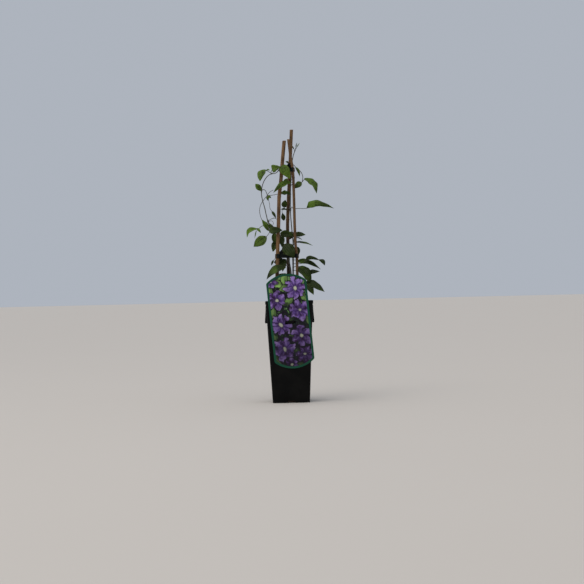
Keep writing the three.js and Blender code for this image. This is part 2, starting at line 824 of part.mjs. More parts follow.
        tip: [-17, 47, 266], width: 16, face: [-0.2, 0.7, 1], fold: 16, arch: 3, bend: -2,
      },
    ],
  },
  stem_right: {
    radius: 1.1,
    root: [9, -8],
    vine: [
      [9.4, -8, 248],
      [9.4, -8, 279],
      [9.8, -7.6, 301],
      [9.8, -7.4, 323],
      [11.6, -4, 343],
      [13.6, 0.4, 358],
    ],
    stalks: [],
    leaves: [
      {
        stalk: [[13.6, 0.4, 358], [15.4, 1.6, 365.6]],
        tip: [39.4, -5, 364.8], width: 13, face: [0, -1, 0.4], fold: 12, arch: 2.4,
      },
      { stalk: [[13, -1, 353.5], [16.4, 0.6, 358.6]], tip: [31.6, -3.4, 353.8], width: 7, face: UP },
      {
        stalk: [[11.8, -3.6, 344], [16.4, -0.4, 349]],
        tip: [54.4, -10, 340.6], width: 9, face: [0, -0.6, 1], fold: 16, arch: 3,
      },
      {
        stalk: [[12.4, -2.2, 350], [17.6, 5.6, 345.6], [20, 9, 338]],
        tip: [22.4, 8, 320], width: 12, face: FRONT, fold: 10,
      },
      {
        stalk: [[9.8, -7.6, 302], [22, -4.6, 301.6], [33.6, -12, 303.4], [39.4, -15, 309.6]],
        tip: [69.4, -22, 307.4], width: 17, face: FRONT_UP, fold: 40, arch: 3, widest: 0.2,
      },
      {
        stalk: [[62.4, -21.4, 309.4], [67, -21.6, 308.6]],
        tip: [79.4, -25, 296], width: 9.6, face: [0.1, -1, 0.4], bend: -3, widest: 0.46,
      },
      {
        stalk: [[9.8, -7.5, 310], [16, -1.6, 310], [21.6, -1, 307.6]],
        tip: [70.4, -12, 288.6], width: 15, face: [0, -1, 0.8], fold: 18, arch: 8, widest: 0.26,
      },
      {
        stalk: [[9.7, -7.8, 294], [18, -5, 296], [25, -7, 295]],
        tip: [48.4, -22, 256], width: 25, face: [0.3, -1, 0.45], fold: 12, arch: 8,
      },
      {
        stalk: [[9.6, -7.9, 288], [24, 2, 285], [39.6, -2, 280]],
        tip: [68.4, -9, 283.8], width: 13, face: [0, -1, 0.7], fold: 14,
      },
      {
        stalk: [[9.4, -8, 264], [20, -6.4, 267], [31, -13, 266], [39, -18, 261.6]],
        tip: [77.4, -30, 239], width: 20, face: [0.1, -1, 0.7], fold: 14, arch: 4,
      },
      {
        stalk: [[9.4, -8, 257], [20, -7.4, 260], [31, -17, 260], [40.4, -27, 255.6]],
        tip: [53.6, -34, 233], width: 15, face: [0.2, -1, 0.3], fold: 12,
      },
    ],
  },
};

function buildStem({ radius, root, vine, stalks, leaves }) {
  const [x, y] = root;
  const low = SOIL.top - STEM.rootDepth;
  const buried = [low, SOIL.top - STEM.rootDepth / 2, SOIL.top + STEM.collar].map((z) => [x, y, z]);
  const bodies = [tube([...buried, ...vine].map(point), radius, STEM.sides)];
  for (const stalk of stalks) bodies.push(tube(stalk.line.map(point), stalk.radius, STEM.stalkSides));
  for (const leaf of leaves) {
    const { body, rib } = blade({ ...leaf, base: leaf.stalk.at(-1) });
    const stalkRadius = leaf.width > LEAF.wide ? STEM.stalkRadius : STEM.slimStalkRadius;
    bodies.push(body, tube([...leaf.stalk.map(point), rib], stalkRadius, STEM.stalkSides));
  }
  return join(bodies);
}

// The hole in the soil that a stem stands in.
function stemHole({ radius, root: [x, y] }) {
  const depth = STEM.rootDepth + GAP;
  const wide = radius + STEM.holeSlack;
  const hole = new THREE.CylinderGeometry(wide, wide, depth * 2, STEM.holeSides).rotateX(Math.PI / 2);
  return solid(hole.translate(x, y, SOIL.top));
}

// ---- The assembly ----

const clematis = new THREE.Group();

const holder = new THREE.Group();
const canes = Object.entries(CANES);
const stems = Object.entries(STEMS);
const holes = [...canes.map(([, spec]) => cane(spec, GAP)), ...stems.map(([, spec]) => stemHole(spec))];
holder.add(piece('pot', buildPot(), FINISH.pot));
holder.add(piece('soil', buildSoil(holes), FINISH.soil));

const label = piece('label', labelSheet(), FINISH.label);
label.position.set(LABEL.shift, -(wallHalf(LABEL.slotHeight) + LABEL.standOff), LABEL.slotHeight);
label.rotation.set(THREE.MathUtils.degToRad(LABEL.tilt), THREE.MathUtils.degToRad(-LABEL.lean), 0);
holder.add(label);

const support = new THREE.Group();
for (const [name, spec] of canes) support.add(piece(name, cane(spec), FINISH.bamboo));
for (const [name, spec] of Object.entries(CLIPS)) support.add(piece(name, clip(spec), FINISH.clip));

const plant = new THREE.Group();
for (const [name, spec] of stems) plant.add(piece(name, buildStem(spec), FINISH.leaf));

clematis.add(holder, support, plant);

export default clematis;
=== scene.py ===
"""A young climbing clematis in its pot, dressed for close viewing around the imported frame."""
import math
import random
from functools import partial

import bpy
import bmesh
from bpy.props import (
    FloatProperty, FloatVectorProperty, IntProperty, PointerProperty,
)
from mathutils import Matrix, Vector, noise


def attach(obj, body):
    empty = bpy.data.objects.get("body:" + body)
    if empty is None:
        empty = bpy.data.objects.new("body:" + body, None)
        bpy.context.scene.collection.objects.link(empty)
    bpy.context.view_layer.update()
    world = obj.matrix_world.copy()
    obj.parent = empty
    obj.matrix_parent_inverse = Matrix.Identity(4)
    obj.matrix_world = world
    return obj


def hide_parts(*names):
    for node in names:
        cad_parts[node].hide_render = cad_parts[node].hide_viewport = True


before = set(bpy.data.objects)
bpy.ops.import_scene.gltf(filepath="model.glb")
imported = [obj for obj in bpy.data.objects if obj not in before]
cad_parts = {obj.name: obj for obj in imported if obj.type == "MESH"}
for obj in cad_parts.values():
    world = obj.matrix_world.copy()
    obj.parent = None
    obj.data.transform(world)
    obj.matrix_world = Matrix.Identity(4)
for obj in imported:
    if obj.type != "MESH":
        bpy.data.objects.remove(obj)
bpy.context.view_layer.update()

bl_info = {
    "name": "Potted climbing clematis",
    "version": (1, 0, 0),
    "blender": (4, 5, 0),
    "location": "3D View > Sidebar > Clematis",
    "description": "Builds a young climbing clematis with its pot, canes, clips and picture label",
    "category": "Object",
}

MM = 0.001

# ---- Places, in millimetres, the same as in the part's source ----

# The front label lug of the pot: (out from the wall, height).
LUG_OUTLINE = [
    (-0.7, 204), (0, 204), (1.9, 179), (1.9, 176), (3.2, 176), (3.2, 178.2), (4, 178.2),
    (4.2, 175), (3.8, 172.5), (-0.7, 172.5),
]
# The plain wedge that the other three sides have in its place.
WEDGE_OUTLINE = [
    (-0.7, 211), (1.4, 211), (2.2, 200), (5.2, 177), (5.2, 174.5), (4.6, 172.5), (-0.7, 172.5),
]
LUG_WIDTH = 18
LABEL_SIDE = 3
# A drain notch under a side, whose cutter starts outside the wall and below the ground.
NOTCH = {"width": 20, "top_width": 15, "height": 4.5, "depth": 9, "outside": 3, "below": 1}

SOIL_WAVES = [(1.3, 0.17, 0.14), (0.8, 0.31, -0.27)]  # (height, turns along x, along y)

# A cane's middle line from its foot up, and the heights of the nodes in the bamboo.
CANES = {
    "cane_left": {
        "line": [
            (-34, -21.2, 14), (-28.6, -16, 206), (-24.8, -14, 283), (-22.4, -12.5, 338),
            (-19.8, -11.2, 386), (-17, -9.5, 449), (-12.6, -8.7, 480), (-8, -7.5, 526),
            (-3, -6.3, 572),
        ],
        "nodes": [260, 449],
    },
    "cane_right": {
        "line": [
            (24, -21.2, 14), (20.5, -16, 206), (19, -14, 283), (19.2, -13, 320),
            (16.8, -12.4, 339), (15.7, -11.2, 383), (15.6, -9.8, 438), (15.1, -8.8, 488),
            (14.7, -8.4, 506), (12.7, -8, 520), (10, -7.3, 538), (6.3, -6.2, 575),
        ],
        "nodes": [331, 490],
    },
    "cane_back": {
        "line": [
            (-1.5, 34.4, 14), (-0.6, 28, 206), (-0.3, 24.6, 283), (0, 20, 388),
            (3.4, 17.2, 449), (5.2, 16.2, 472), (8.6, 14, 521), (13.4, 10.6, 598),
        ],
        "nodes": [400, 560],
    },
}

# The height of each clip at the two front canes and at the back cane.
CLIPS = {"clip_lower": (319, 342), "clip_upper": (508, 520)}

# Where a leaf's upper side can look.
FRONT = (0, -1, 0.25)
FRONT_UP = (0, -1, 1)
UP = (0, -0.35, 1)


def leaf(stalk, tip, width, face=FRONT, fold=15, arch=2, bend=0, lobe=1.6, widest=0.34):
    """A leaf: the points of its stalk, its tip, its width and how the blade is held."""
    return {
        "stalk": stalk, "tip": tip, "width": width, "face": face, "fold": fold, "arch": arch,
        "bend": bend, "lobe": lobe, "widest": widest,
    }


STEMS = {
    "stem_main": {
        "radius": 1.25,
        "root": (9, 4),
        "vine": [
            (9.6, 7, 248), (10.6, 12, 281), (11.6, 17, 328), (11.2, 17, 355), (9.6, 16, 376),
            (8.2, 16.2, 396), (7, 18.6, 420), (7.8, 22.2, 445), (9, 23, 476), (11, 23.8, 500),
            (12.6, 23.8, 522), (15.8, 21, 540), (20.6, 18, 554),
        ],
        "stalks": [
            (0.8, [
                (12.6, 23.8, 524), (17, 20.5, 521), (24, 15, 512), (31, 11, 506), (36, 7, 495),
                (34.7, 5, 482),
            ]),
            (0.7, [(7, 18.8, 422), (5.8, 12.6, 424), (-1, 9, 424), (-6, 6.5, 423.5)]),
        ],
        "leaves": [
            leaf([(20, 18.5, 552.5), (22.4, 17.4, 560)], tip=(25, 16.5, 570), width=2.2),
            leaf([(20.6, 18, 554), (25.4, 16.6, 561)], tip=(31, 15.6, 569), width=2),
            leaf([(20, 18.5, 552.5), (17.8, 18, 556.5)], tip=(12.6, 18.5, 565), width=2.6),
            leaf(
                [(34.7, 5, 482), (37.6, 4, 485.6), (40.7, 3, 488.6)],
                tip=(65.6, -4, 455), width=22, face=(0.55, -0.75, 0.5), fold=14, arch=4, bend=-7,
            ),
            leaf([(34.7, 5, 482), (31.6, 4.6, 480.4)], tip=(16.6, 1.5, 467.5), width=14, fold=12),
            leaf(
                [(24, 15, 512), (21.4, 12, 514)],
                tip=(29.4, 7, 494.5), width=8.5, face=(0.5, -1, 0.4), fold=30,
            ),
            leaf(
                [(12.6, 23.8, 522), (9, 22, 526), (4.6, 20, 526.6)],
                tip=(-1.5, 18.4, 529), width=5,
            ),
            leaf(
                [(9, 23, 476), (13, 18, 479), (13.6, 10, 481), (11, 1, 481), (8.4, -7, 480.8)],
                tip=(-29, -23, 457.6), width=19, face=FRONT_UP, fold=30, arch=4.4,
            ),
            leaf(
                [
                    (7, 18.6, 420), (10.4, 13.6, 428), (13.6, 7, 423.6), (24, 0.5, 423.4),
                    (38, -2.5, 422.8), (48.8, -4, 424),
                ],
                tip=(102.4, -13, 421), width=31, face=FRONT_UP, fold=40, arch=6, lobe=6,
                widest=0.14,
            ),
            leaf([(-6, 6.5, 423.5), (-6.6, 5.4, 428)], tip=(-3.4, 3, 443), width=13.6, fold=10),
            leaf(
                [(-2, 9, 424), (-0.6, 7, 421)],
                tip=(-14, 3.4, 422), width=9, face=(0, -0.7, 1), fold=10, widest=0.45,
            ),
            leaf(
                [(-6, 6.5, 423.5), (-11, 3.4, 420), (-10.6, 3, 415)],
                tip=(-7.6, 0.5, 397), width=10.4, fold=16, widest=0.6,
            ),
            leaf(
                [(9.8, 8, 258), (22, 15, 263), (31, 21, 263)],
                tip=(44, 36, 247), width=19, face=(0.5, 0.6, 1), fold=14, arch=3,
            ),
            leaf(
                [(10.2, 10.4, 271), (13, 21, 274), (14, 29, 272)],
                tip=(20, 49, 252), width=21, face=(0.2, 0.8, 0.9), fold=12, arch=4, bend=2,
            ),
            leaf(
                [(11.4, 17, 338), (9.4, 27, 344), (5, 32, 343)],
                tip=(-13, 41, 323), width=19, face=(-0.2, 1, 0.6), fold=12, arch=4,
            ),
            leaf(
                [(10.2, 16.4, 368), (13.6, 26, 373), (12, 31, 372)],
                tip=(-4, 43, 355), width=16, face=(-0.1, 1, 0.5), fold=14, arch=3, bend=2,
            ),
            leaf(
                [(10, 23.4, 488), (9, 30, 492), (5, 33, 491)],
                tip=(-8, 41, 475), width=14, face=(-0.3, 1, 0.6), fold=14, arch=3,
            ),
        ],
    },
    "stem_left": {
        "radius": 1.2,
        "root": (4, -1),
        "vine": [
            (5.2, 0, 260), (5.6, 1, 282), (3.6, 2.6, 298), (-1, 5.2, 320), (-8, 5.2, 340),
            (-14, 4.2, 358), (-22, 3.6, 374), (-33, 1.4, 386), (-41.6, 0, 394), (-46, -1, 410),
            (-49.4, -2, 427), (-53.4, -3, 442), (-55.6, -3.4, 458), (-54, -4, 472),
            (-48.4, -6, 486), (-40, -8.6, 496), (-32, -10.8, 499.6), (-23.4, -14, 500.6),
            (-17, -17.6, 506), (-12.4, -19, 514.5),
        ],
        "stalks": [
            (0.75, [(-54.8, -3.8, 466), (-48, -1.6, 465.4), (-44.8, 0, 460), (-43, 0.8, 453.4)]),
            (0.55, [(-43, 0.8, 453.4), (-39.6, 1.4, 459), (-34, 2.4, 463), (-29.6, 3, 465.4)]),
            (0.75, [(-43, -0.4, 397), (-48.6, -5.2, 388.6), (-57, -7, 385.4), (-64, -7.6, 379.4)]),
            (0.5, [
                (-42, 0, 395), (-38, -2, 397.4), (-33, -3.4, 396.2), (-30.6, -4, 391.4),
                (-32.6, -4.6, 387.4),
            ]),
        ],
        "leaves": [
            leaf(
                [(-32, -10.8, 499.6), (-33.6, -17, 502), (-30, -22, 508.6)],
                tip=(-11.4, -24, 513.6), width=18.4, fold=16, arch=1, widest=0.12,
            ),
            leaf(
                [(-17, -17.6, 506), (-9.4, -20.6, 515)],
                tip=(8.6, -22.4, 486), width=22, fold=12, arch=3, widest=0.28,
            ),
            leaf(
                [(-32, -10.8, 499.6), (-37, -9.6, 503.6), (-43, -9, 507.2), (-46.4, -9, 508.4)],
                tip=(-58, -15, 483.4), width=27, face=(-0.8, -0.9, 0.5), fold=30, arch=1,
                widest=0.4,
            ),
            leaf(
                [(-44, -9, 507.6), (-43.6, -9.8, 506.6)],
                tip=(-35.6, -12, 507.6), width=6.4, face=FRONT_UP,
            ),
            leaf(
                [(-55.4, -3.6, 461.6), (-57, -4, 464.2)],
                tip=(-68.4, -6.4, 479), width=13.4, fold=22, widest=0.48,
            ),
            leaf([(-43, 0.8, 453.4), (-42, 0.4, 451.6)], tip=(-34.4, -2.6, 447.4), width=7),
            leaf([(-43, 0.8, 453.4), (-42.6, 0.2, 450)], tip=(-41.6, -2.4, 441.6), width=6.4),
            leaf(
                [(-42.2, 0.2, 450), (-38.4, 1, 435), (-37.6, 0.6, 425), (-32.6, 0, 417)],
                tip=(-24.6, -2.6, 402.6), width=6.4,
            ),
            leaf(
                [(-43, 0.8, 453.4), (-33, 1.8, 453.8), (-19, 1, 456), (-12, -0.6, 457)],
                tip=(10, 2, 455), width=15, face=FRONT_UP, fold=20, arch=2,
            ),
            leaf(
                [
                    (-43, 0.8, 453.4), (-49.6, 0.6, 445.6), (-54.6, 0.2, 439), (-58.6, -1, 431),
                    (-60.6, -2.2, 421), (-58.8, -3.4, 408), (-56, -4.4, 400),
                ],
                tip=(-42, -8, 374.6), width=14, face=(0.4, -1, 0.3), fold=24, widest=0.56,
            ),
            leaf(
                [(-42.4, -0.2, 395.6), (-39.6, 0, 399.4), (-34, -0.4, 402)],
                tip=(-23, -3.6, 400), width=4.6, face=UP,
            ),
            leaf([(-41.6, 0, 394), (-42.6, -2, 386)], tip=(-30.6, -6, 381.4), width=12, fold=16),
            leaf(
                [(-41.6, 0, 394), (-42, -10, 382), (-39.4, -17.4, 374.6)],
                tip=(-11, -20, 375.4), width=17, fold=10,
            ),
            leaf(
                [(-40.8, -13.4, 379), (-40, -13, 371), (-47.4, -12, 361.6)],
                tip=(-75, -15, 341), width=22, fold=8, arch=2, widest=0.42,
            ),
            leaf([(-64, -7.6, 379.4), (-66, -8, 380.6)], tip=(-58.4, -9.6, 371), width=5.6),
            leaf(
                [(-64, -7.6, 379.4), (-67.6, -8.4, 379.6)],
                tip=(-89, -15, 361.4), width=14, face=(-0.3, -1, 0.6), fold=20, arch=3, bend=7.5,
            ),
            leaf([(-64, -7.6, 379.4), (-69, -8.6, 374.4)], tip=(-72.4, -9.4, 359.6), width=2.4),
            leaf([(-15.4, 4, 361), (-15, 2.4, 369)], tip=(14.6, -1, 364.4), width=17, fold=16),
        ],
    },
    "stem_lower_left": {
        "radius": 1.1,
        "root": (3, 11),
        "vine": [
            (3.4, 11, 248), (4, 11, 270), (3.6, 10.8, 290), (0.6, 9.6, 306), (-4, 7, 320),
            (-9.6, 0.8, 335), (-15, -2.6, 349),
        ],
        "stalks": [],
        "leaves": [
            leaf(
                [(-15, -2.6, 348), (-12.4, -3.6, 362)],
                tip=(-13.4, -8.6, 338.6), width=12.4, fold=14,
            ),
            leaf(
                [(-15.4, -3, 349), (-22.6, 0.6, 359), (-29, 0, 368.6)],
                tip=(-29.6, -3.4, 345), width=13, fold=14,
            ),
            leaf(
                [(-14, -1.8, 344), (-20.4, 0.2, 349.4), (-27.4, 0, 351)],
                tip=(-33.4, -4.6, 328.8), width=14, fold=12,
            ),
            leaf(
                [(-11.6, -1, 340), (-9.4, -9, 346.6), (-7.6, -13, 344)],
                tip=(13.4, -25.6, 315), width=28, fold=10, arch=3, widest=0.4,
            ),
            leaf(
                [(0.6, 9.6, 306), (-4, 4, 307.6), (-9, -3.6, 307)],
                tip=(-31.6, -3.6, 306), width=21, fold=10, widest=0.46,
            ),
            leaf(
                [(3.6, 10.8, 290), (-1, 0, 298), (-4, -12, 299), (-7, -19, 296)],
                tip=(-48, -30, 268.6), width=21, face=(-0.3, -1, 0.6), fold=16, arch=4, bend=5,
            ),
            leaf(
                [(1.6, 10, 302), (-3, 4, 309), (-8.6, -1.6, 312)],
                tip=(-13, -9, 285), width=13, fold=12,
            ),
            leaf(
                [(-1.6, 8.4, 312), (-13, -3, 313.6), (-27.6, -7, 314.6), (-33, -9, 309.4)],
                tip=(-37.6, -11, 298.6), width=5,
            ),
            leaf(
                [(3.8, 11, 262), (-7, 14, 269), (-15, 20, 268)],
                tip=(-36, 38, 250), width=20, face=(-0.5, 0.6, 1), fold=12, arch=4,
            ),
            leaf(
                [(4, 11, 274), (-6, 14, 281), (-11, 25, 281)],
                tip=(-17, 47, 266), width=16, face=(-0.2, 0.7, 1), fold=16, arch=3, bend=-2,
            ),
        ],
    },
    "stem_right": {
        "radius": 1.1,
        "root": (9, -8),
        "vine": [
            (9.4, -8, 248), (9.4, -8, 279), (9.8, -7.6, 301), (9.8, -7.4, 323), (11.6, -4, 343),
            (13.6, 0.4, 358),
        ],
        "stalks": [],
        "leaves": [
            leaf(
                [(13.6, 0.4, 358), (15.4, 1.6, 365.6)],
                tip=(39.4, -5, 364.8), width=13, face=(0, -1, 0.4), fold=12, arch=2.4,
            ),
            leaf([(13, -1, 353.5), (16.4, 0.6, 358.6)], tip=(31.6, -3.4, 353.8), width=7, face=UP),
            leaf(
                [(11.8, -3.6, 344), (16.4, -0.4, 349)],
                tip=(54.4, -10, 340.6), width=9, face=(0, -0.6, 1), fold=16, arch=3,
            ),
            leaf(
                [(12.4, -2.2, 350), (17.6, 5.6, 345.6), (20, 9, 338)],
                tip=(22.4, 8, 320), width=12, fold=10,
            ),
            leaf(
                [(9.8, -7.6, 302), (22, -4.6, 301.6), (33.6, -12, 303.4), (39.4, -15, 309.6)],
                tip=(69.4, -22, 307.4), width=17, face=FRONT_UP, fold=40, arch=3, widest=0.2,
            ),
            leaf(
                [(62.4, -21.4, 309.4), (67, -21.6, 308.6)],
                tip=(79.4, -25, 296), width=9.6, face=(0.1, -1, 0.4), bend=-3, widest=0.46,
            ),
            leaf(
                [(9.8, -7.5, 310), (16, -1.6, 310), (21.6, -1, 307.6)],
                tip=(70.4, -12, 288.6), width=15, face=(0, -1, 0.8), fold=18, arch=8, widest=0.26,
            ),
            leaf(
                [(9.7, -7.8, 294), (18, -5, 296), (25, -7, 295)],
                tip=(48.4, -22, 256), width=25, face=(0.3, -1, 0.45), fold=12, arch=8,
            ),
            leaf(
                [(9.6, -7.9, 288), (24, 2, 285), (39.6, -2, 280)],
                tip=(68.4, -9, 283.8), width=13, face=(0, -1, 0.7), fold=14,
            ),
            leaf(
                [(9.4, -8, 264), (20, -6.4, 267), (31, -13, 266), (39, -18, 261.6)],
                tip=(77.4, -30, 239), width=20, face=(0.1, -1, 0.7), fold=14, arch=4,
            ),
            leaf(
                [(9.4, -8, 257), (20, -7.4, 260), (31, -17, 260), (40.4, -27, 255.6)],
                tip=(53.6, -34, 233), width=15, face=(0.2, -1, 0.3), fold=12,
            ),
        ],
    },
}

# A leaf's main veins run from base to tip at every this part of its half width.
VEIN_STEP = 0.375
# Room between a cane and what goes round it.
CANE_CLEARANCE = 0.45 * MM
# The hang slot's middle is this far below the middle of the label.
LABEL_MIDDLE = 3

# The motifs printed on the label: middle across and along, size, turn in degrees and tone, from
# dark to light. A bloom's size is its radius, a leaf's is half its length.
PRINTED_LEAVES = [
    (-22, 84, 17, 30, 1.0),
    (-4, 90, 15, 100, 0.8),
    (-36, 66, 14, 80, 0.7),
    (36, 48, 14, 60, 0.6),
    (-6, 72, 13, -20, 0.9),
    (-34, 22, 13, 100, 0.6),
    (0, 42, 15, 150, 0.6),
    (38, 0, 12, 80, 0.4),
    (-1, 6, 15, 160, 0.3),
    (-37, -28, 13, 70, 0.35),
    (0, -26, 14, 60, 0.3),
    (6, -62, 14, 30, 0.3),
    (-36, -80, 14, 60, 0.25),
    (12, -96, 15, 10, 0.3),
]
# A bloom also gives its number of petals.
PRINTED_BLOOMS = [
    (-33, 88, 15, 45, 0.5, 6),
    (-24, 47, 22, 0, 0.6, 6),
    (17, 70, 25, 20, 0.85, 8),
    (23, 22, 24, 50, 0.65, 6),
    (-20, -6, 25, 30, 0.75, 8),
    (24, -74, 21, 15, 0.35, 7),
    (21, -33, 24, 5, 0.45, 6),
    (-18, -60, 27, 20, 0.7, 6),
    (-6, -94, 16, 0, 0.2, 6),
]


# ---- Colour, nodes and materials ----


def linear(hex_colour):
    """An sRGB hex colour as linear red, green, blue and a full alpha."""
    channels = [int(hex_colour[i:i + 2], 16) / 255 for i in (1, 3, 5)]
    return (*(c / 12.92 if c < 0.04045 else ((c + 0.055) / 1.055) ** 2.4 for c in channels), 1.0)


def scale_for(millimetres):
    """The texture scale that gives features of this real size."""
    return 1 / (millimetres * MM)


def in_use(sockets):
    """The sockets that a node's settings leave in use."""
    return [socket for socket in sockets if socket.enabled]


def feed(node, inputs):
    """Sets a node's inputs, given by name in a dict or in their order in a tuple.

    A node stands for its first output in use. A socket is linked, and anything else is the
    input's own value.
    """
    if isinstance(inputs, dict):
        pairs = [(node.inputs[name], value) for name, value in inputs.items()]
    else:
        pairs = zip(in_use(node.inputs), inputs)
    for socket, value in pairs:
        if isinstance(value, bpy.types.Node):
            value = in_use(value.outputs)[0]
        if isinstance(value, bpy.types.NodeSocket):
            node.id_data.links.new(value, socket)
        else:
            socket.default_value = value


def add_node(tree, kind, inputs=(), **settings):
    """Adds a shader node with its settings and its inputs."""
    node = tree.nodes.new("ShaderNode" + kind)
    for name, value in settings.items():
        setattr(node, name, value)
    feed(node, inputs)
    return node


def new_material(name):
    """A material, its surface shader, the object's own coordinates, and what adds its nodes."""
    material = bpy.data.materials.new(name)
    material.use_nodes = True
    add = partial(add_node, material.node_tree)
    place = add("TexCoord").outputs["Object"]
    return material, material.node_tree.nodes["Principled BSDF"], place, add


def pot_plastic(settings):
    # Recycled polypropylene, injection moulded: deep black with a soft sheen, an orange-peel skin
    # and faint dry dust that makes broad pale patches.
    material, shader, place, add = new_material("moulded_polypropylene_black")
    dust = add("TexNoise", (place, scale_for(38), 6.0, 0.65))
    cover = add("MapRange", (dust, 0.45, 0.8, 0.0, 0.05))
    colour = add("Mix", (cover, (*settings.colour, 1), linear("#57534b")), data_type="RGBA")
    sheen = add("MapRange", (dust, 0.3, 0.75, 0.42, 0.62))
    # The real skin's pits are about 0.2 mm apart; they are drawn 0.8 mm apart to show.
    skin = add("TexNoise", (place, scale_for(0.8), 2.0))
    relief = add("Bump", {"Height": skin, "Strength": 0.25, "Distance": 0.1 * MM})
    feed(shader, {
        "Base Color": colour, "Roughness": sheen, "Normal": relief, "IOR": 1.49,
        "Specular IOR Level": 0.08,
    })
    return material


def compost(settings):
    # Peat and bark compost, loose: dark crumbs and paler fibres, fully matte and deeply pitted.
    material, shader, place, add = new_material("peat_and_bark_compost")
    crumbs = add("TexVoronoi", (place, scale_for(2.2)))
    fibres = add("TexNoise", {
        "Vector": place, "Scale": scale_for(1.1), "Detail": 5.0, "Roughness": 0.7,
        "Distortion": 1.5,
    })
    pale = add("MapRange", (fibres, 0.5, 0.72, 0.0, 0.7))
    colour = add("Mix", (pale, (*settings.colour, 1), linear("#5d4530")), data_type="RGBA")
    heights = add("Math", (crumbs, fibres), operation="ADD")
    relief = add("Bump", {"Height": heights, "Strength": 0.9, "Distance": 0.8 * MM})
    feed(shader, {"Base Color": colour, "Roughness": 0.95, "Normal": relief})
    return material


def bark_chip():
    # Composted bark, shredded: red-brown chips with darker layers along the grain.
    material, shader, place, add = new_material("composted_bark_chip")
    layers = add("TexNoise", (place, scale_for(1.4), 4.0))
    colour = add("Mix", (layers, linear("#2a1a10"), linear("#6e4a2f")), data_type="RGBA")
    relief = add("Bump", {"Height": layers, "Strength": 0.6, "Distance": 0.3 * MM})
    feed(shader, {"Base Color": colour, "Roughness": 0.88, "Normal": relief})
    return material


def perlite():
    # Expanded perlite, heat-puffed volcanic glass: chalky white grains with tiny pores.
    material, shader, place, add = new_material("expanded_perlite")
    pores = add("TexVoronoi", (place, scale_for(0.5)))
    colour = add("Mix", (pores, linear("#a9a294"), linear("#e2ded2")), data_type="RGBA")
    feed(shader, {"Base Color": colour, "Roughness": 0.9})
    return material


def bamboo(name, settings, foot_weathering_and_shade, top_weathering_and_shade):
    # Bamboo cane, dried with its waxy skin on: tan-brown with fine fibres along the cane, darker
    # weathered patches and a low sheen. An older cane is weathered all over.
    material, shader, place, add = new_material(name)
    # Fibres are about 0.5 mm wide and run for some 50 mm along the cane.
    along = add("Mapping", {"Vector": place, "Scale": (1, 1, 0.01)})
    fibres = add("TexNoise", (along, scale_for(0.5), 3.0, 0.6))
    fibre_cover = add("MapRange", (fibres, 0.35, 0.7))
    skin = add("Mix", (fibre_cover, (*settings.colour, 1), (*settings.fibre, 1)), data_type="RGBA")
    weather = add("Mapping", {"Vector": place, "Scale": (1, 1, 0.3)})
    patches = add("TexNoise", (weather, scale_for(9), 5.0, 0.6))
    # The least cover of the dark patches runs from the foot value at 280 mm to the top one at 500
    # mm:
    # weathering, and on the back cane painted shade that darkens it low down among the leaves.
    height = add("SeparateXYZ", (place,)).outputs[2]
    weathering_and_shade = add("MapRange", (height, 0.28, 0.5, foot_weathering_and_shade, top_weathering_and_shade))
    patch_cover = add("MapRange", (patches, 0.46, 0.68, weathering_and_shade, 0.85))
    colour = add("Mix", (patch_cover, skin, (*settings.weathered, 1)), data_type="RGBA")
    sheen = add("MapRange", (patches, 0.3, 0.7, 0.42, 0.7))
    relief = add("Bump", {"Height": fibres, "Strength": 0.35, "Distance": 0.15 * MM})
    feed(shader, {
        "Base Color": colour, "Roughness": sheen, "Normal": relief, "Specular IOR Level": 0.2,
    })
    return material


def bamboo_end():
    # Bamboo sawn across: pale straw wood with dark fibre dots, dry and matte.
    material, shader, place, add = new_material("sawn_bamboo_end")
    dots = add("TexVoronoi", (place, scale_for(0.6)))
    dark = add("MapRange", (dots, 0.15, 0.4, 0.8, 0.0))
    colour = add("Mix", (dark, linear("#a98a60"), linear("#5b4129")), data_type="RGBA")
    feed(shader, {"Base Color": colour, "Roughness": 0.85})
    return material


def clip_plastic(settings):
    # Polypropylene, injection moulded: green-black, with a finer skin and more sheen than the pot.
    material, shader, place, add = new_material("moulded_polypropylene_green_black")
    rubbed = add("TexNoise", (place, scale_for(6), 4.0))
    colour = add("Mix", (rubbed, (*settings.colour, 1), linear("#1a201f")), data_type="RGBA")
    skin = add("TexNoise", (place, scale_for(0.5), 2.0))
    relief = add("Bump", {"Height": skin, "Strength": 0.2, "Distance": 0.08 * MM})
    feed(shader, {
        "Base Color": colour, "Roughness": 0.4, "IOR": 1.49, "Normal": relief,
        "Specular IOR Level": 0.12,
    })
    return material


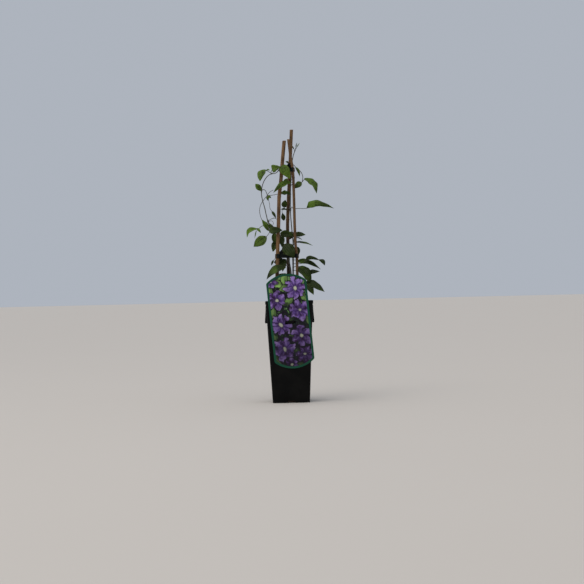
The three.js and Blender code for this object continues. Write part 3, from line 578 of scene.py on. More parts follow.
def leaf_material(name, settings, upper):
    """One side of a leaf: its tone, its main veins, the mesh of small veins and its sheen."""
    material, shader, place, add = new_material(name)
    across, along = add("SeparateXYZ", (place.node.outputs["UV"],)).outputs[:2]
    # Main veins run from base to tip, spaced evenly out from the midrib, where UV X is 0.5.
    side = add("Math", (across, 0.5), operation="SUBTRACT")
    half = add("Math", (side, 2.0), operation="MULTIPLY")
    outward = add("Math", (half,), operation="ABSOLUTE")
    from_vein = add("Math", (outward, VEIN_STEP / 2), operation="PINGPONG")
    vein = add("MapRange", (from_vein, 0.012, 0.05, 1.0, 0.0), interpolation_type="SMOOTHSTEP")
    fading = add("MapRange", (along, 0.5, 1.0, 1.0, 0.2))
    main_veins = add("Math", (vein, fading), operation="MULTIPLY")
    # Small veins close into meshes about 1.8 mm wide.
    small_veins = add("TexVoronoi", (place, scale_for(1.8)), feature="DISTANCE_TO_EDGE")
    small_vein = add("MapRange", (small_veins, 0.0, 0.14, 0.3, 0.0))
    # The tone drifts from leaf to leaf, some 35 mm apart, and in blotches within a leaf.
    drift = add("TexNoise", (place, scale_for(35), 1.0))
    blotches = add("TexNoise", (place, scale_for(5), 4.0))
    tone = add("Math", (drift, blotches), operation="ADD")
    age_lightness = add("MapRange", (tone, 0.76, 1.24))
    # Age and painted shade: leaves low on the plant and close round the canes are the darkest,
    # and leaves near the top are painted lighter, as if lit.
    spot = add("SeparateXYZ", (place,)).outputs
    off_canes = add("Math", (spot[0],), operation="ABSOLUTE")
    spans = ((spot[2], 0.32, 0.35), (off_canes, 0.028, 0.05), (spot[2], 0.4, 0.48))
    halfway_up, outer, top = (add("MapRange", span) for span in spans)
    young_and_lit_side = add("Math", (halfway_up, outer), operation="MULTIPLY")
    young_and_lit_parts = add("Math", (young_and_lit_side, top), operation="MAXIMUM")
    late_leaves = add("MapRange", (drift, 0.48, 0.62, 0.0, 0.6))
    # young marks the young leaves together with those painted as lit.
    young = add("Math", (young_and_lit_parts, late_leaves), operation="MAXIMUM")
    lightness = add("Math", (age_lightness, young), operation="MULTIPLY")
    dark = settings.leaf_dark if upper else settings.leaf_below
    blade = add("Mix", (lightness, (*dark, 1), (*settings.leaf_light, 1)), data_type="RGBA")
    meshed = add("Mix", (small_vein, blade, (*settings.vein, 1)), data_type="RGBA")
    veined_cover = add("Math", (main_veins, 0.75), operation="MULTIPLY")
    veined = add("Mix", (veined_cover, meshed, (*settings.vein, 1)), data_type="RGBA")
    # Away from the young and lit parts, the leaf mixes towards the dark of age and painted shade.
    age_and_shade = add("MapRange", (young, 0.0, 1.0, 0.6, 0.0))
    aged_and_shaded = add("Mix", (age_and_shade, veined, (*settings.leaf_old_and_shaded, 1)), data_type="RGBA")
    # The last tenth of the blade's rim is a little browner, from dry air.
    rim = add("MapRange", (outward, 0.9, 1.0, 0.0, 0.35))
    colour = add("Mix", (rim, aged_and_shaded, linear("#3a3018")), data_type="RGBA")
    sheen = add("MapRange", (blotches, 0.3, 0.7, 0.34 if upper else 0.6, 0.52 if upper else 0.75))
    height = add("Math", (main_veins, small_vein), operation="MAXIMUM")
    relief = add("Bump", {"Height": height, "Strength": 0.5, "Distance": 0.12 * MM}, invert=upper)
    feed(shader, {
        "Base Color": colour, "Roughness": sheen, "Normal": relief, "IOR": 1.42,
        "Specular IOR Level": 0.12,
    })
    return material


def leaf_upper(settings):
    # Clematis leaf, upper side: a waxy, fairly shiny deep green with sunk, paler veins.
    return leaf_material("clematis_leaf_upper_side", settings, True)


def leaf_lower(settings):
    # Clematis leaf, lower side: paler and matte, with the veins standing proud.
    return leaf_material("clematis_leaf_lower_side", settings, False)


def young_stem(settings):
    # First-year clematis stem: green-brown, finely ribbed along its length, with a down that
    # greys it.
    material, shader, place, add = new_material("first_year_clematis_stem")
    patches = add("TexNoise", (place, scale_for(7), 4.0))
    colour = add("Mix", (
        patches, (*settings.stem_colour, 1), (*settings.stem_shade, 1),
    ), data_type="RGBA")
    ribs = add("Mapping", {"Vector": place, "Scale": (1, 1, 0.06)})
    ribbing = add("TexNoise", (ribs, scale_for(0.5), 2.0))
    relief = add("Bump", {"Height": ribbing, "Strength": 0.5, "Distance": 0.12 * MM})
    feed(shader, {"Base Color": colour, "Roughness": 0.55, "Normal": relief, "Sheen Weight": 0.12})
    return material


def label_plastic(settings):
    # Polystyrene sheet, punched: dark green all through, smooth, with fine handling scratches.
    material, shader, place, add = new_material("punched_polystyrene_sheet_green")
    scratches = add("TexNoise", {
        "Vector": place, "Scale": scale_for(9), "Detail": 8.0, "Distortion": 3.0,
    })
    colour = add("Mix", (
        scratches, (*settings.border_colour, 1), linear("#2a5a48"),
    ), data_type="RGBA")
    sheen = add("MapRange", (scratches, 0.3, 0.7, 0.28, 0.45))
    feed(shader, {"Base Color": colour, "Roughness": sheen, "Specular IOR Level": 0.2})
    return material


def motif_group(name, more_sockets=()):
    """A node group that will draw one printed motif over the print below it."""
    group = bpy.data.node_groups.new(name, "ShaderNodeTree")
    sockets = {
        "NodeSocketFloat": (
            "Across", "Along", "Middle across", "Middle along", "Size", "Turn", "Tone",
            *more_sockets,
        ),
        "NodeSocketVector": ("Ruffle",),
        "NodeSocketColor": ("Below",),
    }
    for kind, names in sockets.items():
        for socket in names:
            group.interface.new_socket(socket, in_out="INPUT", socket_type=kind)
    group.interface.new_socket("Colour", in_out="OUTPUT", socket_type="NodeSocketColor")
    add = partial(add_node, group)
    given = group.nodes.new("NodeGroupInput").outputs
    # The point's place from the motif's middle, in motif sizes.
    offsets = []
    for axis in ("Across", "Along"):
        offset = add("Math", (given[axis], given["Middle " + axis.lower()]), operation="SUBTRACT")
        offsets.append(add("Math", (offset, given["Size"]), operation="DIVIDE"))
    local = add("CombineXYZ", (offsets[0], offsets[1]))
    angle = add("Math", (given["Turn"],), operation="RADIANS")
    turned = add("VectorRotate", {"Vector": local, "Angle": angle}, rotation_type="Z_AXIS")
    ruffle = add("SeparateXYZ", (given["Ruffle"],)).outputs
    return group, given, turned, ruffle


def finish_motif(group, given, inside, colour):
    """Lays the motif, and the soft shade round it, over the print below."""
    add = partial(add_node, group)
    shade = add("MapRange", (inside, -0.3, 0.0, 0.0, 0.8), interpolation_type="SMOOTHSTEP")
    shaded = add("Mix", (shade, given["Below"], linear("#0c0915")), data_type="RGBA")
    cover = add("MapRange", (inside, 0.0, 0.07))
    laid = add("Mix", (cover, shaded, colour), data_type="RGBA")
    feed(group.nodes.new("NodeGroupOutput"), {"Colour": laid})
    return group


def bloom_group(settings):
    """A printed bloom: broad ruffled petals that overlap round a tuft of cream stamens."""
    group, given, local, ruffle = motif_group("printed_bloom", ("Petals",))
    add = partial(add_node, group)
    x, y = add("SeparateXYZ", (local,)).outputs[:2]
    reach = add("VectorMath", (local,), operation="LENGTH")
    angle = add("Math", (y, x), operation="ARCTAN2")
    # The ruffles widen some petals, narrow others and make the tips uneven.
    swung = add("Math", (ruffle[1], 1.1, angle), operation="MULTIPLY_ADD")
    turns = add("Math", (swung, math.tau), operation="DIVIDE")
    petals = add("Math", (turns, given["Petals"]), operation="MULTIPLY")
    share = add("Math", (petals,), operation="FRACT")
    off_middle = add("Math", (share, 0.5), operation="SUBTRACT")
    off_middle = add("Math", (off_middle,), operation="ABSOLUTE")
    off_bar = add("Math", (off_middle, 2.0), operation="MULTIPLY")
    # A petal's edge: the full size at its bar, and two thirds of it where two petals meet.
    drop = add("Math", (off_bar, 1.5), operation="POWER")
    edge = add("Math", (drop, -0.36, 1.0), operation="MULTIPLY_ADD")
    ragged = add("Math", (ruffle[0], 0.5, reach), operation="MULTIPLY_ADD")
    inside = add("Math", (edge, ragged), operation="SUBTRACT")
    # Fine streaks run out along the petals.
    streak_place = add("CombineXYZ", (petals, reach))
    stretched = add("Mapping", {"Vector": streak_place, "Scale": (1, 0.3, 1)})
    streaks = add("TexNoise", (stretched, 8.0, 3.0), noise_dimensions="2D")
    streaked = add("MapRange", (streaks, 0.3, 0.7, -0.35, 0.35), clamp=False)
    # Folds catch the light or lie in shade.
    folds = add("Math", (ruffle[2], 2.4, given["Tone"]), operation="MULTIPLY_ADD")
    tone = add("Math", (streaked, folds), operation="ADD", use_clamp=True)
    petal = add("Mix", (
        tone, (*settings.petal_dark, 1), (*settings.petal_light, 1),
    ), data_type="RGBA")
    tip = add("MapRange", (ragged, 0.5, 1.05, 0.0, 0.95))
    bar = add("MapRange", (off_bar, 0.05, 0.35, 0.6, 0.0))
    pale = add("Math", (tip, bar), operation="MAXIMUM")
    paleness = add("Math", (pale, tone), operation="MULTIPLY")
    lit = add("Mix", (paleness, petal, (*settings.petal_bar, 1)), data_type="RGBA")
    # It is darker deep in the bloom, and where a petal slips under the next.
    deep = add("MapRange", (reach, 0.15, 0.65, 0.75, 0.0))
    under = add("MapRange", (share, 0.0, 0.45, 0.95, 0.0))
    dark = add("Math", (deep, under), operation="MAXIMUM")
    shaded = add("Mix", (dark, lit, linear("#160b24")), data_type="RGBA")
    tuft = add("Math", (ruffle[2], 0.3, reach), operation="MULTIPLY_ADD")
    stamens = add("MapRange", (tuft, 0.09, 0.19, 1.0, 0.0))
    colour = add("Mix", (stamens, shaded, linear("#c4c7ae")), data_type="RGBA")
    return finish_motif(group, given, inside, colour)


def leaf_group():
    """A printed leaf: a pointed oval with a paler midrib, one half lighter than the other."""
    group, given, local, ruffle = motif_group("printed_leaf")
    add = partial(add_node, group)
    x, y = add("SeparateXYZ", (local,)).outputs[:2]
    square = add("Math", (x, x), operation="MULTIPLY")
    half_width = add("Math", (square, -0.45, 0.45), operation="MULTIPLY_ADD")
    wavy = add("Math", (ruffle[0], 0.5, y), operation="MULTIPLY_ADD")
    off_rib = add("Math", (wavy,), operation="ABSOLUTE")
    inside = add("Math", (half_width, off_rib), operation="SUBTRACT")
    green = add("Mix", (given["Tone"], linear("#172c17"), linear("#8fbb62")), data_type="RGBA")
    shaded_half = add("MapRange", (wavy, -0.1, 0.1, 0.0, 0.45))
    halves = add("Mix", (shaded_half, green, linear("#0c1f12")), data_type="RGBA")
    rib = add("MapRange", (off_rib, 0.015, 0.06, 0.3, 0.0))
    colour = add("Mix", (rib, halves, linear("#90ab7c")), data_type="RGBA")
    return finish_motif(group, given, inside, colour)


def label_print(settings):
    # Offset print on polystyrene: violet blooms and green leaves on a dark ground inside a green
    # border, under a satin varnish. The design is a made-up garland.
    material, shader, place, add = new_material("offset_print_on_polystyrene")
    flat = add("SeparateXYZ", (place.node.outputs["UV"],)).outputs
    length = (settings.side + settings.arch * 2) / MM
    axes = []
    for socket, size in ((flat[0], settings.width / MM), (flat[1], length)):
        axes.append(add("Math", (socket, size, -size / 2), operation="MULTIPLY_ADD"))
    across, along = axes
    place_mm = add("CombineXYZ", (across, along))
    # Foliage out of focus: dark aubergine gaps, deep green, and light green towards the top.
    blur = add("TexNoise", (place_mm, 1 / 8, 4.0, 0.6), noise_dimensions="2D")
    green_cover = add("MapRange", (blur, 0.46, 0.6, 0.0, 0.85))
    ground = add("Mix", (green_cover, linear("#130d1b"), linear("#254325")), data_type="RGBA")
    height = add("MapRange", (along, -10.0, 85.0, 0.68, 0.5))
    light_cover = add("Math", (blur, height), operation="SUBTRACT")
    light_cover = add("MapRange", (light_cover, 0.0, 0.08, 0.0, 0.9))
    ground = add("Mix", (light_cover, ground, linear("#86b06a")), data_type="RGBA")
    crumple = add("TexNoise", (place_mm, 1 / 11, 1.5), noise_dimensions="2D")
    ruffle = add("VectorMath", (crumple.outputs["Color"], (0.5, 0.5, 0.5)), operation="SUBTRACT")
    foliage, bloom = leaf_group(), bloom_group(settings)
    motifs = [(foliage, motif) for motif in PRINTED_LEAVES]
    motifs += [(bloom, motif) for motif in PRINTED_BLOOMS]
    sockets = ("Middle across", "Middle along", "Size", "Turn", "Tone", "Petals")
    for group, motif in motifs:
        ground = add("Group", {
            "Across": across, "Along": along, "Ruffle": ruffle, "Below": ground,
            **dict(zip(sockets, motif)),
        }, node_tree=group)
    # The pictured garden is in shade towards the bottom.
    sunlight = add("MapRange", (along, -90.0, 80.0, 0.65, 0.0))
    ground = add("Mix", (sunlight, ground, linear("#100a18")), data_type="RGBA")
    # The border follows the straight sides, and the arcs of the two ends.
    half = settings.width / 2 / MM
    arch = settings.arch / MM
    border = settings.border / MM
    end_radius = (half ** 2 + arch ** 2) / (2 * arch)
    end_middle = settings.side / 2 / MM + arch - end_radius
    off_middle = add("Math", (across,), operation="ABSOLUTE")
    from_side = add("Math", (half, off_middle), operation="SUBTRACT")
    up_or_down = add("Math", (along,), operation="ABSOLUTE")
    past = add("Math", (up_or_down, end_middle), operation="SUBTRACT")
    past_end = add("Math", (past, 0.0), operation="MAXIMUM")
    spoke = add("CombineXYZ", (across, past_end))
    spoke_length = add("VectorMath", (spoke,), operation="LENGTH")
    from_end = add("Math", (end_radius, spoke_length), operation="SUBTRACT")
    from_edge = add("Math", (from_side, from_end), operation="MINIMUM")
    within = add("MapRange", (from_edge, border - 0.15, border + 0.15))
    colour = add("Mix", (within, (*settings.border_colour, 1), ground), data_type="RGBA")
    varnish = add("TexNoise", (place, scale_for(25), 5.0))
    sheen = add("MapRange", (varnish, 0.3, 0.7, 0.3, 0.42))
    feed(shader, {"Base Color": colour, "Roughness": sheen, "Specular IOR Level": 0.2})
    return material


# ---- Shapes ----

# A cut or moulded piece's edge is sharp where its faces turn by more than this.
MOULDED_EDGE = math.radians(35)


class Shape:
    """The points, faces, surface coordinates and finish numbers of one piece, in millimetres."""

    def __init__(self):
        self.points, self.coords, self.faces, self.finishes = [], [], [], []

    def add_points(self, points, coords=None):
        first = len(self.points)
        points = list(points)
        self.points.extend(points)
        self.coords.extend(coords or [(0.0, 0.0)] * len(points))
        return first

    def add_face(self, corners, finish=0):
        self.faces.append(tuple(corners))
        self.finishes.append(finish)

    def add_rings(self, rings, finish=0):
        """A skin through closed rings of points, with both ends closed."""
        size = len(rings[0])
        first = self.add_points(point for ring in rings for point in ring)
        last = first + size * (len(rings) - 1)
        for start in range(first, last, size):
            for i in range(size):
                a, b = start + i, start + (i + 1) % size
                self.add_face((a, b, b + size, a + size), finish)
        self.add_face(reversed(range(first, first + size)), finish)
        self.add_face(range(last, last + size), finish)

    def add_sheet(self, sides, coords, columns, finishes):
        """A thin closed sheet: its two sides' points, column by column, and the rim round them."""
        rows = len(coords) // (columns + 1) - 1
        starts = [self.add_points(points, coords) for points in sides]
        for start, finish in zip(starts, finishes):
            for i in range(columns):
                for j in range(rows):
                    a = start + i * (rows + 1) + j
                    self.add_face((a, a + rows + 1, a + rows + 2, a + 1), finish)
        edge = [i * (rows + 1) for i in range(columns + 1)]
        edge += [columns * (rows + 1) + j for j in range(1, rows + 1)]
        edge += [i * (rows + 1) + rows for i in range(columns - 1, -1, -1)]
        edge += range(rows - 1, 0, -1)
        front, back = starts
        for a, b in zip(edge, edge[1:] + edge[:1]):
            self.add_face((front + a, front + b, back + b, back + a), finishes[1])

    def piece(self, name, materials, sharp=50):
        """The shape as an object, in metres, smooth but for edges sharper than given."""
        mesh = bpy.data.meshes.new(name)
        mesh.from_pydata([tuple(p * MM for p in point) for point in self.points], [], self.faces)
        mesh.polygons.foreach_set("material_index", self.finishes)
        layer = mesh.uv_layers.new(name="surface")
        coords = [c for loop in mesh.loops for c in self.coords[loop.vertex_index]]
        layer.data.foreach_set("uv", coords)
        skin = bmesh.new()
        skin.from_mesh(mesh)
        bmesh.ops.recalc_face_normals(skin, faces=skin.faces)
        skin.to_mesh(mesh)
        skin.free()
        mesh.shade_smooth()
        mesh.set_sharp_from_angle(angle=math.radians(sharp))
        for material in materials:
            mesh.materials.append(material)
        piece = bpy.data.objects.new(name, mesh)
        bpy.context.scene.collection.objects.link(piece)
        return piece


def apply_modifiers(piece):
    """Turns the piece's modifiers into its mesh."""
    bpy.context.view_layer.update()
    graph = bpy.context.evaluated_depsgraph_get()
    mesh = bpy.data.meshes.new_from_object(piece.evaluated_get(graph), depsgraph=graph)
    piece.modifiers.clear()
    mesh.name = piece.name
    mesh.shade_smooth()
    mesh.set_sharp_from_angle(angle=MOULDED_EDGE)
    piece.data = mesh


def combine(piece, tools, operation):
    """Joins the tools to the piece or cuts them out of it, and removes them."""
    for tool in tools:
        modifier = piece.modifiers.new("combine", "BOOLEAN")
        modifier.operation, modifier.object, modifier.solver = operation, tool, "EXACT"
    apply_modifiers(piece)
    for tool in tools:
        bpy.data.objects.remove(tool)


def soften_edges(piece, width):
    """Rounds the piece's sharp edges, as moulding does."""
    bevel = piece.modifiers.new("bevel", "BEVEL")
    bevel.width, bevel.segments, bevel.limit_method = width * MM, 2, "ANGLE"
    bevel.angle_limit = MOULDED_EDGE
    apply_modifiers(piece)


def place_piece(piece, slot, *nodes):
    """Sets a finished piece on the part: it rides on the one body and stands for its nodes."""
    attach(piece, "root")
    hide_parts(*nodes)


def smooth_path(points, spacing):
    """Points about spacing apart on the centripetal Catmull-Rom curve through those given."""
    given = [Vector(point) for point in points]
    ends = [2 * given[0] - given[1], *given, 2 * given[-1] - given[-2]]
    path = []
    for before, start, stop, after in zip(ends, ends[1:], ends[2:], ends[3:]):
        pairs = ((before, start), (start, stop), (stop, after))
        reach = [math.sqrt((b - a).length) for a, b in pairs]
        slope = (stop - start) / reach[1]
        leave = (start - before) / reach[0] - (stop - before) / (reach[0] + reach[1]) + slope
        arrive = slope - (after - start) / (reach[1] + reach[2]) + (after - stop) / reach[2]
        leave, arrive = leave * reach[1], arrive * reach[1]
        steps = max(2, round((stop - start).length / spacing))
        for step in range(steps):
            t = step / steps
            place = start + leave * t
            place += (3 * stop - 3 * start - 2 * leave - arrive) * t ** 2
            path.append(place + (2 * start - 2 * stop + leave + arrive) * t ** 3)
    return [*path, given[-1]]


def round_sections(path, radii, sides):
    """Rings round a path, turned as little as can be from each to the next."""
    rings = []
    across = None
    for i, middle in enumerate(path):
        ahead = (path[min(i + 1, len(path) - 1)] - path[max(i - 1, 0)]).normalized()
        across = across or ahead.orthogonal()
        across = (across - ahead * across.dot(ahead)).normalized()
        upward = ahead.cross(across)
        turns = [math.tau * side / sides for side in range(sides)]
        rings.append([
            middle + radii[i] * (math.cos(turn) * across + math.sin(turn) * upward)
            for turn in turns
        ])
    return rings


# ---- The pot and its soil ----

POT_EDGE_ROUNDING = 0.3
# The soil's top: rings from the wall in to the middle, the points on each side of a ring, the
# spacing of the lumps, how far it has settled at the wall, and the share of crumbs that is perlite.
SOIL_RINGS = 26
SOIL_SIDE_STEPS = 20
LUMP_SPACING = 4.5
SETTLED = 1.2
PERLITE_SHARE = 0.14
# Where the finishes of the soil stand in its list of materials.
BARK_FINISH, PERLITE_FINISH = 1, 2


def square_ring(half, z, side_steps=1, arc_steps=7):
    """A ring of points round the pot's square with round corners, anticlockwise from above."""
    radius = half * corner_share()
    inner = half - radius
    ring = []
    for corner in range(4):
        quarter = corner * math.pi / 2
        cx = inner if corner in (0, 3) else -inner
        cy = inner if corner in (0, 1) else -inner
        for step in range(arc_steps + 1):
            turn = quarter + math.pi / 2 * step / arc_steps
            ring.append(Vector((cx + radius * math.cos(turn), cy + radius * math.sin(turn), z)))
        ahead = Vector((-math.cos(quarter), -math.sin(quarter), 0))
        for step in range(1, side_steps):
            ring.append(ring[-step] + ahead * (2 * inner * step / side_steps))
    return ring


def wall_half(z):
    """Half the pot's outside width at a height, in millimetres."""
    pot = bpy.context.scene.clematis_pot
    return (pot.foot_half + (pot.top_half - pot.foot_half) * z * MM / pot.height) / MM


def corner_share():
    """The pot's corner radius as a share of half its width, the same at every height."""
    pot = bpy.context.scene.clematis_pot
    return pot.corner_radius / pot.foot_half


def build_pot():
    """The moulded pot, with its rim, four lugs and four drain notches."""
    pot = bpy.context.scene.clematis_pot
    top, wall, floor, rim = (v / MM for v in (pot.height, pot.wall, pot.floor, pot.rim_height))
    rim_foot, out = top - rim, pot.rim_proud / MM
    # (half width, height), from the middle of the underside out, up, over the rim and down inside.
    levels = [(8, 1.2), (33, 1.2), (34.2, 0), (39.3, 0), (39.9, 0.2), (wall_half(0.9), 0.9)]
    levels += [(wall_half(z), z) for z in (3, 40, 90, 140, 175, 200, rim_foot - 1)]
    low, high = wall_half(rim_foot), wall_half(top)
    levels += [
        (low, rim_foot), (low + out * 0.35, rim_foot + 0.15), (low + out * 0.85, rim_foot + 0.7),
        (low + out, rim_foot + 1.4), (high + out, top - 0.9), (high + out * 0.8, top - 0.3),
        (high + out * 0.4, top), (high - wall + 0.5, top), (high - wall + 0.1, top - 0.3),
        (high - wall, top - 0.8),
    ]
    levels += [(wall_half(z) - wall, z) for z in (205, 150, 80, floor + 2)]
    inner = wall_half(floor) - wall
    levels += [(inner - 1.2, floor + 0.3), (inner - 3, floor), (8, floor)]
    shape = Shape()
    shape.add_rings([square_ring(half, z) for half, z in levels])
    piece = shape.piece("pot_shell", [pot_plastic(pot)])
    lugs, notches = [], []
    across, top_across, height = NOTCH["width"] / 2, NOTCH["top_width"] / 2, NOTCH["height"]
    low = -NOTCH["below"]
    opening = [(-across, low), (across, low), (top_across, height), (-top_across, height)]
    reach = wall_half(0)
    for side in range(4):
        turn = Matrix.Rotation(side * math.pi / 2, 3, "Z")
        outline = LUG_OUTLINE if side == LABEL_SIDE else WEDGE_OUTLINE
        lug = Shape()
        lug.add_rings([
            [turn @ Vector((wall_half(z) + off, y, z)) for off, z in outline]
            for y in (-LUG_WIDTH / 2, LUG_WIDTH / 2)
        ])
        lugs.append(lug.piece("lug", []))
        notch = Shape()
        notch.add_rings([
            [turn @ Vector((x, y, z)) for y, z in opening]
            for x in (reach - NOTCH["depth"], reach + NOTCH["outside"])
        ])
        notches.append(notch.piece("notch", []))
    combine(piece, lugs, "UNION")
    combine(piece, notches, "DIFFERENCE")
    soften_edges(piece, POT_EDGE_ROUNDING)
    place_piece(piece, "pot_plastic", "pot")


def soil_top(x, y):
    """The height of the soil, without its crumbs: waves that don't line up."""
    waves = sum(height * math.sin(x * a + y * b) for height, a, b in SOIL_WAVES)
    return bpy.context.scene.clematis_soil.top / MM + waves


def crumb(place, size, length, rng):
    """The rings of one lumpy crumb of soil, longer than it is wide."""
    lie = Vector((rng.uniform(-1, 1), rng.uniform(-1, 1), rng.uniform(-0.35, 0.35))).normalized()
    path = [place + lie * length * (t - 0.5) for t in (0, 0.2, 0.5, 0.8, 1)]
    radii = [size * share * rng.uniform(0.8, 1.15) for share in (0.3, 0.85, 1, 0.8, 0.3)]
    rings = round_sections(path, radii, 6)
    return [
        [point + Vector(rng.uniform(-0.12, 0.12) * size for _ in range(3)) for point in ring]
        for ring in rings
    ]


def build_soil():
    """The compost, with bark chips and perlite lying in its top."""
    soil = bpy.context.scene.clematis_soil
    pot = bpy.context.scene.clematis_pot
    inset, low = (pot.wall + pot.gap) / MM, (pot.floor + pot.gap) / MM
    shape = Shape()
    rim = soil.top / MM - 1.5
    rim_half = wall_half(rim) - inset
    levels = [(5, low), (wall_half(low) - inset, low), (rim_half, rim)]
    rings = [square_ring(half, z, SOIL_SIDE_STEPS) for half, z in levels]
    for step in range(SOIL_RINGS):
        ring = square_ring(rim_half * (1 - step / SOIL_RINGS) ** 0.9, 0, SOIL_SIDE_STEPS)
        for point in ring:
            lumps = noise.fractal(point / LUMP_SPACING, 0.8, 2.2, 4) * soil.roughness / MM
            settled = SETTLED if step == 0 else 0
            point.z = soil_top(point.x, point.y) + lumps - settled
        rings.append(ring)
    shape.add_rings(rings)
    rng = random.Random(soil.seed)
    reach = rim_half - 3
    for _ in range(soil.crumbs):
        x, y = rng.uniform(-reach, reach), rng.uniform(-reach, reach)
        place = Vector((x, y, soil_top(x, y) + 0.3))
        white = rng.random() < PERLITE_SHARE
        size = rng.uniform(0.7, 1.4) if white else rng.uniform(0.6, 1.7)
        length = size * rng.uniform(1.5, 2.2) if white else size * rng.uniform(2.5, 7)
        finish = PERLITE_FINISH if white else BARK_FINISH
        shape.add_rings(crumb(place, size, length, rng), finish)
    piece = shape.piece("soil_heap", [compost(soil), bark_chip(), perlite()])
    place_piece(piece, "soil", "soil")


# ---- The label ----

LABEL_COLUMNS, LABEL_ROWS = 40, 44
# The hang slot's corners, and how far each way its cutter reaches through the sheet.
SLOT_CORNER_RADIUS, SLOT_CUT = 1.0, 5
# Where the finishes of the label stand in its list of materials.
PRINT_FINISH, SHEET_FINISH = 0, 1


def label_half_length(x):
    """Half the label's length at a distance from its middle line, in its flat sheet."""
    label = bpy.context.scene.clematis_label
    half, arch, corner = label.width / 2 / MM, label.arch / MM, label.corner_radius / MM
    end_radius = (half ** 2 + arch ** 2) / (2 * arch)
    end_middle = label.side / 2 / MM + arch - end_radius
    inset = half - corner
    corner_middle = end_middle + math.sqrt((end_radius - corner) ** 2 - inset ** 2)
    turn = math.atan2(corner_middle - end_middle, inset)
    if abs(x) < end_radius * math.cos(turn):
        return end_middle + math.sqrt(end_radius ** 2 - x ** 2)
    return corner_middle + math.sqrt(max(corner ** 2 - (abs(x) - inset) ** 2, 0))


def build_label():
    """The picture label: a bowed sheet with a hang slot, printed on its front."""
    label = bpy.context.scene.clematis_label
    half, thick, bow = label.width / 2 / MM, label.thickness / MM, label.bow / MM
    length = (label.side + label.arch * 2) / MM
    bow_radius = (half ** 2 + bow ** 2) / (2 * bow)
    # Columns crowd towards the side edges, where the corners turn.
    turns = [math.pi / 2 * (2 * i / LABEL_COLUMNS - 1) for i in range(LABEL_COLUMNS + 1)]
    across = [half * math.sin(turn) for turn in turns]
    shares = [2 * j / LABEL_ROWS - 1 for j in range(LABEL_ROWS + 1)]
    flat = [(x, label_half_length(x) * share) for x in across for share in shares]
    sides = [
        [
            Vector((x, bow_radius - math.sqrt(bow_radius ** 2 - x ** 2) + off, z + LABEL_MIDDLE))
            for x, z in flat
        ]
        for off in (-thick / 2, thick / 2)
    ]
    coords = [(x / (2 * half) + 0.5, z / length + 0.5) for x, z in flat]
    shape = Shape()
    shape.add_sheet(sides, coords, LABEL_COLUMNS, (PRINT_FINISH, SHEET_FINISH))
    sheet = label_plastic(label)
    piece = shape.piece("picture_label", [label_print(label), sheet])
    slot = Shape()
    slot_ring = []
    radius = SLOT_CORNER_RADIUS
    reach, rise = label.slot_width / 2 / MM - radius, label.slot_height / 2 / MM - radius
    for corner, (sx, sz) in enumerate(((1, 1), (-1, 1), (-1, -1), (1, -1))):
        for step in range(5):
            turn = math.pi / 2 * (corner + step / 4)
            slot_ring.append((
                sx * reach + radius * math.cos(turn), sz * rise + radius * math.sin(turn),
            ))
    slot.add_rings([[Vector((x, y, z)) for x, z in slot_ring] for y in (-SLOT_CUT, SLOT_CUT)])
    combine(piece, [slot.piece("slot", [sheet])], "DIFFERENCE")
    wall_at = wall_half(label.hung_height / MM) * MM
    hung_at = Vector((label.shift, -wall_at - label.stand_off, label.hung_height))
    stand = Matrix.Translation(hung_at) @ Matrix.Rotation(label.tilt, 4, "X")
    piece.data.transform(stand @ Matrix.Rotation(-label.lean, 4, "Y"))
    place_piece(piece, "label_sheet", "label")


# ---- The canes and the clips ----

CANE_SIDES = 24
# Rings stand this far apart along a cane, and this far apart at a node.
CANE_STEP, NODE_STEP = 5, 0.5
# How far along a cane its bends are eased each way.
BEND_EASE = 9
# The pith's hole in a cane's top: (share of the cane's radius, depth below the saw cut).
PITH = ((0.46, 0), (0.4, 1), (0.33, 6))
# Where the finishes of a cane stand in its list of materials.
SKIN_FINISH, SAWN_FINISH = 0, 1
# Steps round a clip's sleeve, and the sides and half length of what clears a cane's way in it.
SLEEVE_STEPS = 40
CLEARING_SIDES, CLEARING_REACH = 32, 12
CLIP_EDGE_ROUNDING = 0.22


def line_at(line, z):
    """The middle of a cane at a height."""
    for low, high in zip(line, line[1:]):
        if z <= high[2]:
            break
    return Vector(low).lerp(Vector(high), (z - low[2]) / (high[2] - low[2]))


def softened_line_at(line, z):
    """The middle of a cane at a height, with its bends eased."""
    low, high = line[0][2], line[-1][2]
    ease = min(BEND_EASE, z - low, high - z)
    places = [line_at(line, z + ease * step) for step in (-1, -0.5, 0, 0.5, 1)]
    middle = sum((place * weight for place, weight in zip(places, (1, 2, 3, 2, 1))), Vector()) / 9
    return Vector((middle.x, middle.y, z))


def cane_radius(radius, nodes, z):
    """A cane's radius at a height: at each node a ridge, and the scar of a leaf sheath under it."""
    swell = 0.0
    for node in nodes:
        off = z - node
        swell += 0.32 * math.exp(-(off / 2.2) ** 2) + 0.18 * math.exp(-((off - 0.9) / 0.5) ** 2)
        swell -= 0.16 * math.exp(-((off + 1.0) / 0.45) ** 2)
    return radius + swell


